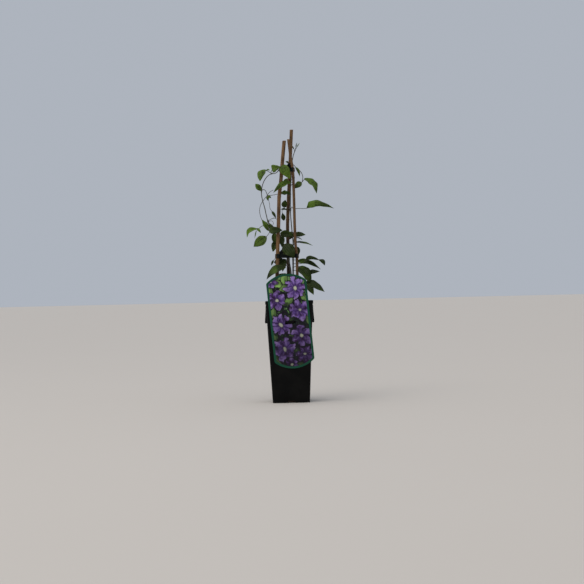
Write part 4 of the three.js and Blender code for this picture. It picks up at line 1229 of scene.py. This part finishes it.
def build_cane(radius, cane):
    """One bamboo cane, with its nodes, slight hand-cut unevenness and open sawn top."""
    line, nodes = cane["line"], cane["nodes"]
    foot, top = line[0][2], line[-1][2]
    heights = {foot + CANE_STEP * step for step in range(int((top - foot) / CANE_STEP) + 1)}
    for node in nodes:
        heights = {z for z in heights if abs(z - node) > CANE_STEP}
        heights |= {node + NODE_STEP * step for step in range(-10, 11)}
    heights = sorted(z for z in heights if z < top - 1) + [top - 0.25, top]
    sides = CANE_SIDES
    shape = Shape()
    rings = []
    for z in heights:
        middle = softened_line_at(line, z)
        ring = []
        for side in range(sides):
            turn = math.tau * side / sides
            out = Vector((math.cos(turn), math.sin(turn), 0))
            uneven = noise.noise(Vector((out.x * 0.8, out.y * 0.8, z / 45 + radius * 9))) * 0.12
            ring.append(middle + out * (cane_radius(radius, nodes, z) + uneven))
        rings.append(ring)
    # The saw leaves a thin arris, and the pith is open.
    middle = softened_line_at(line, top)
    rings[-1] = [middle + (point - middle) * 0.95 for point in rings[-1]]
    shape.add_rings(rings[:-1], SKIN_FINISH)
    # The flat end on top of the rings makes way for the sawn end.
    shape.faces.pop()
    shape.finishes.pop()
    bore = [rings[-1]]
    for share, depth in PITH:
        bore.append([
            middle + (point - middle).normalized() * (radius * share) - Vector((0, 0, depth))
            for point in rings[-1]
        ])
    first = shape.add_points(point for ring in bore for point in ring)
    last = first + sides * (len(bore) - 1)
    for start in range(first, last + 1, sides):
        below = start - sides
        for i in range(sides):
            j = (i + 1) % sides
            shape.add_face((below + i, below + j, start + j, start + i), SAWN_FINISH)
    shape.add_face(range(last, last + sides), SAWN_FINISH)
    return shape


def build_canes():
    """The three bamboo canes."""
    settings = bpy.context.scene.clematis_cane
    fresh = bamboo("dried_bamboo_cane", settings, 0.1, 0.0)
    grey = bamboo("weathered_bamboo_cane", settings, 0.3, 0.3)
    # The back cane is dark low down: painted shade among the leaves.
    shaded_low = bamboo("bamboo_cane_with_painted_shade_low_down", settings, 1.0, 0.1)
    end = bamboo_end()
    kinds = {
        "cane_left": (settings.left_radius, fresh), "cane_right": (settings.right_radius, grey),
        "cane_back": (settings.back_radius, shaded_low),
    }
    for name, cane in CANES.items():
        radius, skin = kinds[name]
        piece = build_cane(radius / MM, cane).piece(name + "_bamboo", [skin, end])
        place_piece(piece, "bamboo", name)


def clip_bar(start, stop, settings):
    """A bar of a clip between two canes: an upright web with a flange along each edge."""
    ahead = (stop - start).normalized()
    out = Vector((ahead.y, -ahead.x, 0)).normalized()
    up = out.cross(ahead).normalized()
    up = up if up.z > 0 else -up
    thick, tall = settings.bar_thickness / MM / 2, settings.height / MM / 2
    flange, web = tall - 1.3, thick - 0.75
    section = [
        (thick, -tall), (thick, -flange), (web, -flange + 0.4), (web, flange - 0.4),
        (thick, flange), (thick, tall), (-thick, tall), (-thick, flange), (-web, flange - 0.4),
        (-web, -flange + 0.4), (-thick, -flange), (-thick, -tall),
    ]
    shape = Shape()
    shape.add_rings([[end + out * o + up * u for o, u in section] for end in (start, stop)])
    return shape.piece("bar", [])


def clip_sleeve(middle, ahead, away, held_radius, settings):
    """A C-shaped sleeve round a cane, open on the side that looks away from the others."""
    inner = (held_radius + CANE_CLEARANCE) / MM
    outer, tall = (held_radius + settings.sleeve_wall) / MM, settings.sleeve_height / MM / 2
    away = (away - ahead * away.dot(ahead)).normalized()
    beside = ahead.cross(away)
    opening = math.asin(settings.mouth_width / MM / 2 / outer) + 0.04
    rings = []
    for step in range(SLEEVE_STEPS + 1):
        turn = opening + (math.tau - 2 * opening) * step / SLEEVE_STEPS
        out = away * math.cos(turn) + beside * math.sin(turn)
        # The wall thins towards its two lips.
        near_lip = min(step, SLEEVE_STEPS - step)
        wall = outer - 0.5 * math.exp(-near_lip / 2)
        rings.append([
            middle + out * radius + ahead * height for radius, height in (
                (inner, -tall + 0.5), (inner + 0.4, -tall), (wall - 0.3, -tall),
                (wall, -tall + 0.3), (wall, tall - 0.3), (wall - 0.3, tall),
                (inner + 0.4, tall), (inner, tall - 0.5),
            )
        ])
    shape = Shape()
    shape.add_rings(rings)
    return shape.piece("sleeve", [])


def build_clips():
    """The two triangular clips that hold the three canes."""
    settings = bpy.context.scene.clematis_clip
    canes = bpy.context.scene.clematis_cane
    plastic = clip_plastic(settings)
    radii = [canes.left_radius, canes.right_radius, canes.back_radius]
    for name, (front, back) in CLIPS.items():
        corners, leans = [], []
        for cane, z in zip(CANES.values(), (front, front, back)):
            corners.append(softened_line_at(cane["line"], z))
            low, high = (softened_line_at(cane["line"], z + off) for off in (-4, 4))
            leans.append((high - low).normalized())
        middle = sum(corners, Vector()) / 3
        sleeves, clearings = [], []
        for corner, lean, radius in zip(corners, leans, radii):
            sleeves.append(clip_sleeve(corner, lean, corner - middle, radius, settings))
            path = [corner - lean * CLEARING_REACH, corner + lean * CLEARING_REACH]
            radii_at_ends = [(radius + CANE_CLEARANCE) / MM] * 2
            shape = Shape()
            shape.add_rings(round_sections(path, radii_at_ends, CLEARING_SIDES))
            clearings.append(shape.piece("clearing", []))
        bars = [clip_bar(corners[i], corners[(i + 1) % 3], settings) for i in range(3)]
        piece = bars[0]
        combine(piece, bars[1:], "UNION")
        combine(piece, clearings, "DIFFERENCE")
        combine(piece, sleeves, "UNION")
        soften_edges(piece, CLIP_EDGE_ROUNDING)
        piece.name = name + "_moulding"
        piece.data.materials.append(plastic)
        place_piece(piece, "clip_plastic", name)


# ---- The stems and their leaves ----

# A stem's foot stands in the soil at these heights.
BURIED_HEIGHTS = (184, 194, 206)
# Sides round a stem, a side stalk, a leaf's own stalk and a bud.
STEM_SIDES, STALK_SIDES, LEAF_STALK_SIDES, BUD_SIDES = 10, 8, 7, 8
# Rings stand this far apart along a stem and along a stalk.
STEM_STEP, STALK_STEP = 2.5, 2
# What starts this near to the stem's middle line makes a joint in it.
JOINT_REACH = 3
# A leaf wider than the first has more columns and rows, and wider than the second a thicker stalk.
WIDE_LEAF, THICK_STALK_LEAF = 6, 12.5
# Sections of the midrib under a blade.
MIDRIB_SECTIONS = 9
# Where the finishes of a stem stand in its list of materials.
STEM_FINISH, UPPER_FINISH, LOWER_FINISH = range(3)
# A leaf's edge is sharp where its faces turn by more than this, in degrees.
LEAF_EDGE = 60


def leaf_taper(t, widest):
    """Half a leaf's width as a share of its widest: round at the base, drawn out to a point."""
    return (t / widest) ** (widest / (1 - widest)) * (1 - t) / (1 - widest)


class Blade:
    """Where the points of one leaf's blade lie."""

    def __init__(self, spec, rng, settings):
        self.start = Vector(spec["stalk"][-1])
        self.run = Vector(spec["tip"]) - self.start
        self.side = self.run.cross(Vector(spec["face"])).normalized()
        self.up = self.side.cross(self.run).normalized()
        self.length = self.run.length
        self.spec = spec
        fold = math.radians(spec["fold"])
        self.spread, self.lift = math.cos(fold), math.sin(fold)
        self.wave = settings.waviness * rng.uniform(0.5, 1.3)
        self.waves = rng.uniform(1.6, 2.6)
        self.phases = (rng.uniform(0, math.tau), rng.uniform(0, math.tau))
        self.curl = rng.uniform(0.2, 1.0) * self.length * 0.03

    def spine(self, t):
        """The line of the midrib, which arches up and may bend to one side."""
        middle = math.sin(math.pi * t)
        rise = self.spec["arch"] * middle - self.curl * max(t - 0.75, 0) ** 2 * 8
        return self.start + self.run * t + self.up * rise + self.side * self.spec["bend"] * middle

    def point(self, u, t):
        """The blade's middle surface: u runs from -1 to 1 across, t from the base to the tip."""
        half = max(self.spec["width"] / 2 * leaf_taper(t, self.spec["widest"]), 0.12)
        out = abs(u)
        # The base is heart-shaped.
        lobe = min(0.12 * self.length, self.spec["lobe"]) * out ** 2 * (1 - t) ** 8
        across = self.side * (u * half * self.spread) - self.run.normalized() * lobe
        # The blade sinks along its main veins and rises between them, and its rim rolls down.
        from_vein = abs((out / VEIN_STEP + 0.5) % 1 - 0.5) * 2
        quilt = (from_vein - 0.5) * min(0.045 * half, 0.3) * (1 - out ** 4)
        roll = -0.1 * half * out ** 6
        phase = self.phases[u > 0]
        wave = self.wave * half * out ** 2 * math.sin(math.tau * self.waves * t + phase)
        rise = out * half * self.lift + quilt + roll + wave * min(1, 4 * t, 4 * (1 - t))
        return self.spine(t) + across + self.up * rise


def add_blade(shape, blade, settings):
    """A leaf blade as a thin closed body, its upper side finished apart from its lower."""
    columns, rows = (16, 20) if blade.spec["width"] > WIDE_LEAF else (8, 12)
    grid = [
        (2 * i / columns - 1, (j / rows) ** 1.15)
        for i in range(columns + 1) for j in range(rows + 1)
    ]
    thick = settings.leaf_thickness / MM / 2
    sides = [
        [blade.point(u, t) + blade.up * facing * thick * (1 - 0.6 * abs(u) ** 3) for u, t in grid]
        for facing in (1, -1)
    ]
    coords = [((u + 1) / 2, t) for u, t in grid]
    shape.add_sheet(sides, coords, columns, (UPPER_FINISH, LOWER_FINISH))


def add_stalk(shape, blade, settings):
    """A leaf's stalk, running on as the midrib under its blade."""
    path = smooth_path(blade.spec["stalk"], STALK_STEP)
    joint = 0.75 if blade.spec["width"] > THICK_STALK_LEAF else 0.6
    radii = [joint * (0.82 + 0.35 * math.exp(-step / 1.5)) for step in range(len(path))]
    sink = settings.leaf_thickness / MM * 0.6
    for section in range(1, MIDRIB_SECTIONS + 1):
        t = 0.92 * section / MIDRIB_SECTIONS
        path.append(blade.spine(t) - blade.up * sink)
        radii.append(joint * (0.62 - 0.5 * section / MIDRIB_SECTIONS))
    shape.add_rings(round_sections(path, radii, LEAF_STALK_SIDES), STEM_FINISH)


def add_bud(shape, place, ahead, out):
    """A leaf bud: a pointed egg some 3 mm long, in the angle of a joint."""
    lie = (ahead * 0.8 + out).normalized()
    path = [place + lie * reach for reach in (0.2, 0.9, 1.7, 2.5, 3.1)]
    radii = [0.55, 0.8, 0.75, 0.42, 0.08]
    shape.add_rings(round_sections(path, radii, BUD_SIDES), STEM_FINISH)


def build_stem(stem, settings, rng):
    """One stem with its stalks, buds and leaves, from inside the soil to its tip."""
    shape = Shape()
    x, y = stem["root"]
    buried = [(x, y, z) for z in BURIED_HEIGHTS]
    path = smooth_path(buried + stem["vine"], STEM_STEP)
    starts = [Vector(points[0]) for _, points in stem["stalks"]]
    starts += [Vector(spec["stalk"][0]) for spec in stem["leaves"]]
    joints = [start for start in starts if min((start - p).length for p in path) < JOINT_REACH]
    radii = []
    for i, place in enumerate(path):
        near = min(((place - joint).length for joint in joints), default=99)
        slim = 1 - 0.35 * (i / len(path)) ** 2
        radii.append(stem["radius"] * (slim + 0.3 * math.exp(-(near / 1.8) ** 2)))
    shape.add_rings(round_sections(path, radii, STEM_SIDES), STEM_FINISH)
    for radius, points in stem["stalks"]:
        line = smooth_path(points, STALK_STEP)
        widths = [radius * (0.95 + 0.3 * math.exp(-step / 1.5)) for step in range(len(line))]
        shape.add_rings(round_sections(line, widths, STALK_SIDES), STEM_FINISH)
    for joint in joints:
        at = min(range(len(path)), key=lambda i: (path[i] - joint).length)
        if 3 < at < len(path) - 3:
            ahead = (path[at + 1] - path[at - 1]).normalized()
            out = ahead.orthogonal().normalized()
            add_bud(shape, path[at] + out * radii[at] * 0.6, ahead, out)
    for spec in stem["leaves"]:
        blade = Blade(spec, rng, settings)
        add_blade(shape, blade, settings)
        add_stalk(shape, blade, settings)
    return shape


def build_stems():
    """The four leafy stems."""
    settings = bpy.context.scene.clematis_plant
    finishes = [young_stem(settings), leaf_upper(settings), leaf_lower(settings)]
    rng = random.Random(settings.seed)
    for name, stem in STEMS.items():
        piece = build_stem(stem, settings, rng).piece(name + "_shoot", finishes, LEAF_EDGE)
        place_piece(piece, "leaf", name)


# ---- The stage ----

FLOOR_REACH, FLOOR_DEPTH = 30000, 20
# Places on the stage, in metres.
PLANT_MIDDLE = Vector((0, 0, 0.25))
CAMERA_PLACE = (0.0066, -2.6, 0.240)
CEILING_PLACE = (-0.9, -0.9, 3.0)
KEY_PLACE, KEY_SIZE = (-1.8, -1.9, 2.2), 1.6
SENSOR_WIDTH = 36


def floor_finish(settings):
    # Matte painted floor: even and pale, with a faint mottle.
    material, shader, place, add = new_material("matte_painted_floor")
    mottle = add("TexNoise", (place, scale_for(400), 3.0))
    cover = add("MapRange", (mottle, 0.3, 0.7, 0.0, 0.06))
    colour = add("Mix", (cover, (*settings.floor_colour, 1), linear("#b9b2aa")), data_type="RGBA")
    feed(shader, {"Base Color": colour, "Roughness": 0.85})
    return material


def add_light(name, kind, place, power, colour):
    """A light at this place that looks at the middle of the plant."""
    lamp = bpy.data.lights.new(name, kind)
    lamp.energy, lamp.color = power, colour
    light = bpy.data.objects.new(name, lamp)
    light.location = place
    light.rotation_euler = (PLANT_MIDDLE - light.location).to_track_quat("-Z", "Y").to_euler()
    bpy.context.scene.collection.objects.link(light)
    return lamp


def build_stage():
    """The pale floor, the even backdrop light, the soft lamps and the camera."""
    scene = bpy.context.scene
    settings = scene.clematis_stage
    shape = Shape()
    shape.add_rings([
        [
            Vector((x * FLOOR_REACH, y * FLOOR_REACH, z))
            for x, y in ((-1, -1), (1, -1), (1, 1), (-1, 1))
        ]
        for z in (-FLOOR_DEPTH, 0)
    ])
    floor = shape.piece("floor", [floor_finish(settings)])

    world = bpy.data.worlds.new("studio")
    world.use_nodes = True
    feed(world.node_tree.nodes["Background"], {
        "Color": (*settings.wall_colour, 1), "Strength": settings.wall_light,
    })
    scene.world = world
    # A wide sky of lamps under the ceiling, so that the floor is even and shadows stay soft.
    colour = settings.lamp_colour
    ceiling = add_light("ceiling_light", "SUN", CEILING_PLACE, settings.ceiling_power, colour)
    ceiling.angle = settings.ceiling_width
    key = add_light("key_light", "AREA", KEY_PLACE, settings.key_power, colour)
    key.shape, key.size = "SQUARE", KEY_SIZE

    lens = bpy.data.cameras.new("camera")
    lens.lens, lens.sensor_width = settings.lens, SENSOR_WIDTH
    camera = bpy.data.objects.new("camera", lens)
    place = Matrix.Translation(CAMERA_PLACE)
    level = Matrix.Rotation(math.pi / 2, 4, "X")
    camera.matrix_world = place @ level @ Matrix.Rotation(-settings.camera_roll, 4, "Z")
    scene.collection.objects.link(camera)
    scene.camera = camera
    scene.view_settings.view_transform = "Standard"


# ---- What a user can change ----


def length_property(name, description, millimetres):
    """A length, given in millimetres and kept in metres."""
    return FloatProperty(
        name=name, description=description, default=millimetres * MM, min=0.0, unit="LENGTH",
        precision=4,
    )


def colour_property(name, description, hex_colour):
    """A colour, given as sRGB hex and kept linear."""
    return FloatVectorProperty(
        name=name, description=description, default=linear(hex_colour)[:3], min=0.0, max=1.0,
        size=3, subtype="COLOR",
    )


def angle_property(name, description, degrees):
    """An angle, given in degrees and kept in radians."""
    return FloatProperty(
        name=name, description=description, default=math.radians(degrees), subtype="ANGLE",
    )


class PotSettings(bpy.types.PropertyGroup):
    """The square pot."""
    height: length_property("Height", "From the ground to the top of the rim", 221)
    foot_half: length_property("Half foot", "Half the outside width at the ground", 40.3)
    top_half: length_property("Half top", "Half the outside width at the top, without rim", 51.2)
    wall: length_property("Wall", "Thickness of the side walls", 1.4)
    floor: length_property("Floor", "Height of the inside floor", 2.4)
    gap: length_property("Gap", "Clearance between the soil and the wall", 0.3)
    corner_radius: length_property("Corner radius", "Of the outside corners at the ground", 5)
    rim_height: length_property("Rim height", "Height of the thicker band at the top", 8)
    rim_proud: length_property("Rim proud", "How far the band stands out from the wall", 0.9)
    colour: colour_property("Plastic", "Colour of the moulded plastic", "#090909")


class SoilSettings(bpy.types.PropertyGroup):
    """The compost in the pot."""
    top: length_property("Top", "Height of the soil above the ground", 204)
    roughness: length_property("Roughness", "Height of the soil's lumps", 1.1)
    crumbs: IntProperty(name="Crumbs", description="Bark and perlite on top", default=170, min=0)
    seed: IntProperty(name="Seed", description="Another seed strews them otherwise", default=7)
    colour: colour_property("Compost", "Colour of the fine compost", "#2b1e15")


class LabelSettings(bpy.types.PropertyGroup):
    """The picture label."""
    width: length_property("Width", "Across the sheet", 86.9)
    side: length_property("Side", "Length of the straight sides", 171)
    arch: length_property("Arch", "How far each end bulges past the sides", 17)
    corner_radius: length_property("Corner radius", "Of the four corners", 6)
    thickness: length_property("Thickness", "Of the sheet", 0.6)
    bow: length_property("Bow", "How far the side edges curl back", 0.8)
    border: length_property("Border", "Width of the plain green edge", 4.6)
    slot_width: length_property("Slot width", "Of the hang slot", 23.6)
    slot_height: length_property("Slot height", "Of the hang slot", 6)
    hung_height: length_property("Hung height", "Of the slot's middle above the ground", 174.2)
    stand_off: length_property("Stand-off", "From the pot's wall to the middle of the sheet", 2.5)
    shift: length_property("Shift", "How far it hangs to the right of the lug", 1.8)
    lean: angle_property("Lean", "How far its top leans to the left", 4.8)
    tilt: angle_property("Tilt", "How far it lies back along the wall", 3.3)
    border_colour: colour_property("Border", "Colour of the sheet and its edge", "#0d4733")
    petal_dark: colour_property("Petal dark", "Darker violet of the printed blooms", "#380f46")
    petal_light: colour_property("Petal light", "Lighter violet of the printed blooms", "#7553ae")
    petal_bar: colour_property("Petal bar", "Pale bar along each printed petal", "#b79cd8")


class CaneSettings(bpy.types.PropertyGroup):
    """The three bamboo canes."""
    left_radius: length_property("Left radius", "Of the front left cane", 4)
    right_radius: length_property("Right radius", "Of the front right cane", 3)
    back_radius: length_property("Back radius", "Of the back cane", 3.7)
    colour: colour_property("Skin", "Darker colour of the cane's skin", "#593f28")
    fibre: colour_property("Fibres", "Lighter colour along the fibres", "#8e6c46")
    # Also the colour of the painted shade low on the back cane.
    weathered: colour_property("Weathered", "Colour of its weathered patches", "#2c2016")


class ClipSettings(bpy.types.PropertyGroup):
    """The two clips round the canes."""
    height: length_property("Bar height", "Of the bars between the canes", 8.4)
    bar_thickness: length_property("Bar thickness", "Of the bars between the canes", 3)
    sleeve_wall: length_property("Sleeve wall", "From a cane to the outside of its sleeve", 1.7)
    sleeve_height: length_property("Sleeve height", "Of each sleeve", 9.4)
    mouth_width: length_property("Mouth", "Gap that a cane is pushed in through", 4.6)
    colour: colour_property("Plastic", "Colour of the moulded plastic", "#0d1110")


class PlantSettings(bpy.types.PropertyGroup):
    """The stems and leaves."""
    leaf_thickness: length_property("Leaf thickness", "Of a blade at its midrib", 0.45)
    waviness: FloatProperty(
        name="Waviness", description="Height of a blade's edge waves against half its width",
        default=0.1, min=0.0, max=0.5,
    )
    seed: IntProperty(name="Seed", description="Another seed waves the leaves otherwise", default=4)
    leaf_dark: colour_property("Leaf dark", "Darker green of the upper sides", "#202e0d")
    leaf_light: colour_property("Leaf light", "Lighter green of the upper sides", "#587523")
    leaf_below: colour_property("Leaf below", "Green of the lower sides", "#424e2e")
    # Also the colour of the painted shade low in the canopy and close round the canes.
    leaf_old_and_shaded: colour_property("Old leaf", "Dark green of the oldest leaves", "#0f1708")
    vein: colour_property("Veins", "Colour of the veins", "#5e7234")
    stem_colour: colour_property("Stem", "Greener colour of the stems", "#41462e")
    stem_shade: colour_property("Stem shade", "Browner colour of the stems", "#392a20")


class StageSettings(bpy.types.PropertyGroup):
    """The floor, the light and the camera."""
    floor_colour: colour_property("Floor", "Colour of the floor", "#c1bcb6")
    wall_colour: colour_property("Backdrop", "Colour of the light all round", "#c6cdd8")
    wall_light: FloatProperty(
        name="Backdrop light", description="Strength of the light all round", default=0.746,
        min=0.0,
    )
    lamp_colour: colour_property("Lamps", "Colour of the lamps", "#fff8ef")
    ceiling_power: FloatProperty(
        name="Ceiling light", description="Strength of the soft light from above", default=1.7,
        min=0.0,
    )
    ceiling_width: angle_property("Ceiling spread", "How wide the soft light looks", 75)
    key_power: FloatProperty(
        name="Key light", description="At the upper left in front", default=12, unit="POWER",
        min=0.0,
    )
    lens: FloatProperty(
        name="Lens", description="Focal length", default=72.9, min=1.0, unit="CAMERA",
    )
    camera_roll: angle_property("Camera roll", "The camera's turn about its axis", 1.3)


SETTINGS = {
    "clematis_pot": PotSettings,
    "clematis_soil": SoilSettings,
    "clematis_label": LabelSettings,
    "clematis_cane": CaneSettings,
    "clematis_clip": ClipSettings,
    "clematis_plant": PlantSettings,
    "clematis_stage": StageSettings,
}


# ---- The buttons ----


class CLEMATIS_OT_make_pot(bpy.types.Operator):
    """Make the square pot with its rim, lugs and drain notches"""
    bl_idname = "clematis.make_pot"
    bl_label = "Pot"

    def execute(self, context):
        build_pot()
        return {"FINISHED"}


class CLEMATIS_OT_make_soil(bpy.types.Operator):
    """Fill the pot with compost"""
    bl_idname = "clematis.make_soil"
    bl_label = "Soil"

    def execute(self, context):
        build_soil()
        return {"FINISHED"}


class CLEMATIS_OT_make_label(bpy.types.Operator):
    """Hang the picture label on the front of the pot"""
    bl_idname = "clematis.make_label"
    bl_label = "Label"

    def execute(self, context):
        build_label()
        return {"FINISHED"}


class CLEMATIS_OT_make_canes(bpy.types.Operator):
    """Stand the three bamboo canes in the pot"""
    bl_idname = "clematis.make_canes"
    bl_label = "Canes"

    def execute(self, context):
        build_canes()
        return {"FINISHED"}


class CLEMATIS_OT_make_clips(bpy.types.Operator):
    """Push the two clips onto the canes"""
    bl_idname = "clematis.make_clips"
    bl_label = "Clips"

    def execute(self, context):
        build_clips()
        return {"FINISHED"}


class CLEMATIS_OT_make_stems(bpy.types.Operator):
    """Grow the four stems with their leaves"""
    bl_idname = "clematis.make_stems"
    bl_label = "Stems and leaves"

    def execute(self, context):
        build_stems()
        return {"FINISHED"}


class CLEMATIS_OT_set_stage(bpy.types.Operator):
    """Lay the floor and set the light and the camera"""
    bl_idname = "clematis.set_stage"
    bl_label = "Stage"

    def execute(self, context):
        build_stage()
        return {"FINISHED"}


BUTTONS = [
    ("clematis_pot", CLEMATIS_OT_make_pot),
    ("clematis_soil", CLEMATIS_OT_make_soil),
    ("clematis_label", CLEMATIS_OT_make_label),
    ("clematis_cane", CLEMATIS_OT_make_canes),
    ("clematis_clip", CLEMATIS_OT_make_clips),
    ("clematis_plant", CLEMATIS_OT_make_stems),
    ("clematis_stage", CLEMATIS_OT_set_stage),
]


class CLEMATIS_PT_pieces(bpy.types.Panel):
    """The plant's pieces, each with its settings"""
    bl_idname = "CLEMATIS_PT_pieces"
    bl_label = "Potted climbing clematis"
    bl_space_type = "VIEW_3D"
    bl_region_type = "UI"
    bl_category = "Clematis"

    def draw(self, context):
        for group_name, operator in BUTTONS:
            box = self.layout.box()
            box.operator(operator.bl_idname)
            group = getattr(context.scene, group_name)
            for name in group.__annotations__:
                box.prop(group, name)


CLASSES = [*SETTINGS.values(), *(operator for _, operator in BUTTONS), CLEMATIS_PT_pieces]


def register():
    for cls in CLASSES:
        bpy.utils.register_class(cls)
    for name, group in SETTINGS.items():
        setattr(bpy.types.Scene, name, PointerProperty(type=group))


def unregister():
    for name in SETTINGS:
        delattr(bpy.types.Scene, name)
    for cls in reversed(CLASSES):
        bpy.utils.unregister_class(cls)


def main():
    register()
    bpy.ops.clematis.make_pot()
    bpy.ops.clematis.make_soil()
    bpy.ops.clematis.make_label()
    bpy.ops.clematis.make_canes()
    bpy.ops.clematis.make_clips()
    bpy.ops.clematis.make_stems()
    bpy.ops.clematis.set_stage()


if __name__ == "__main__":
    main()
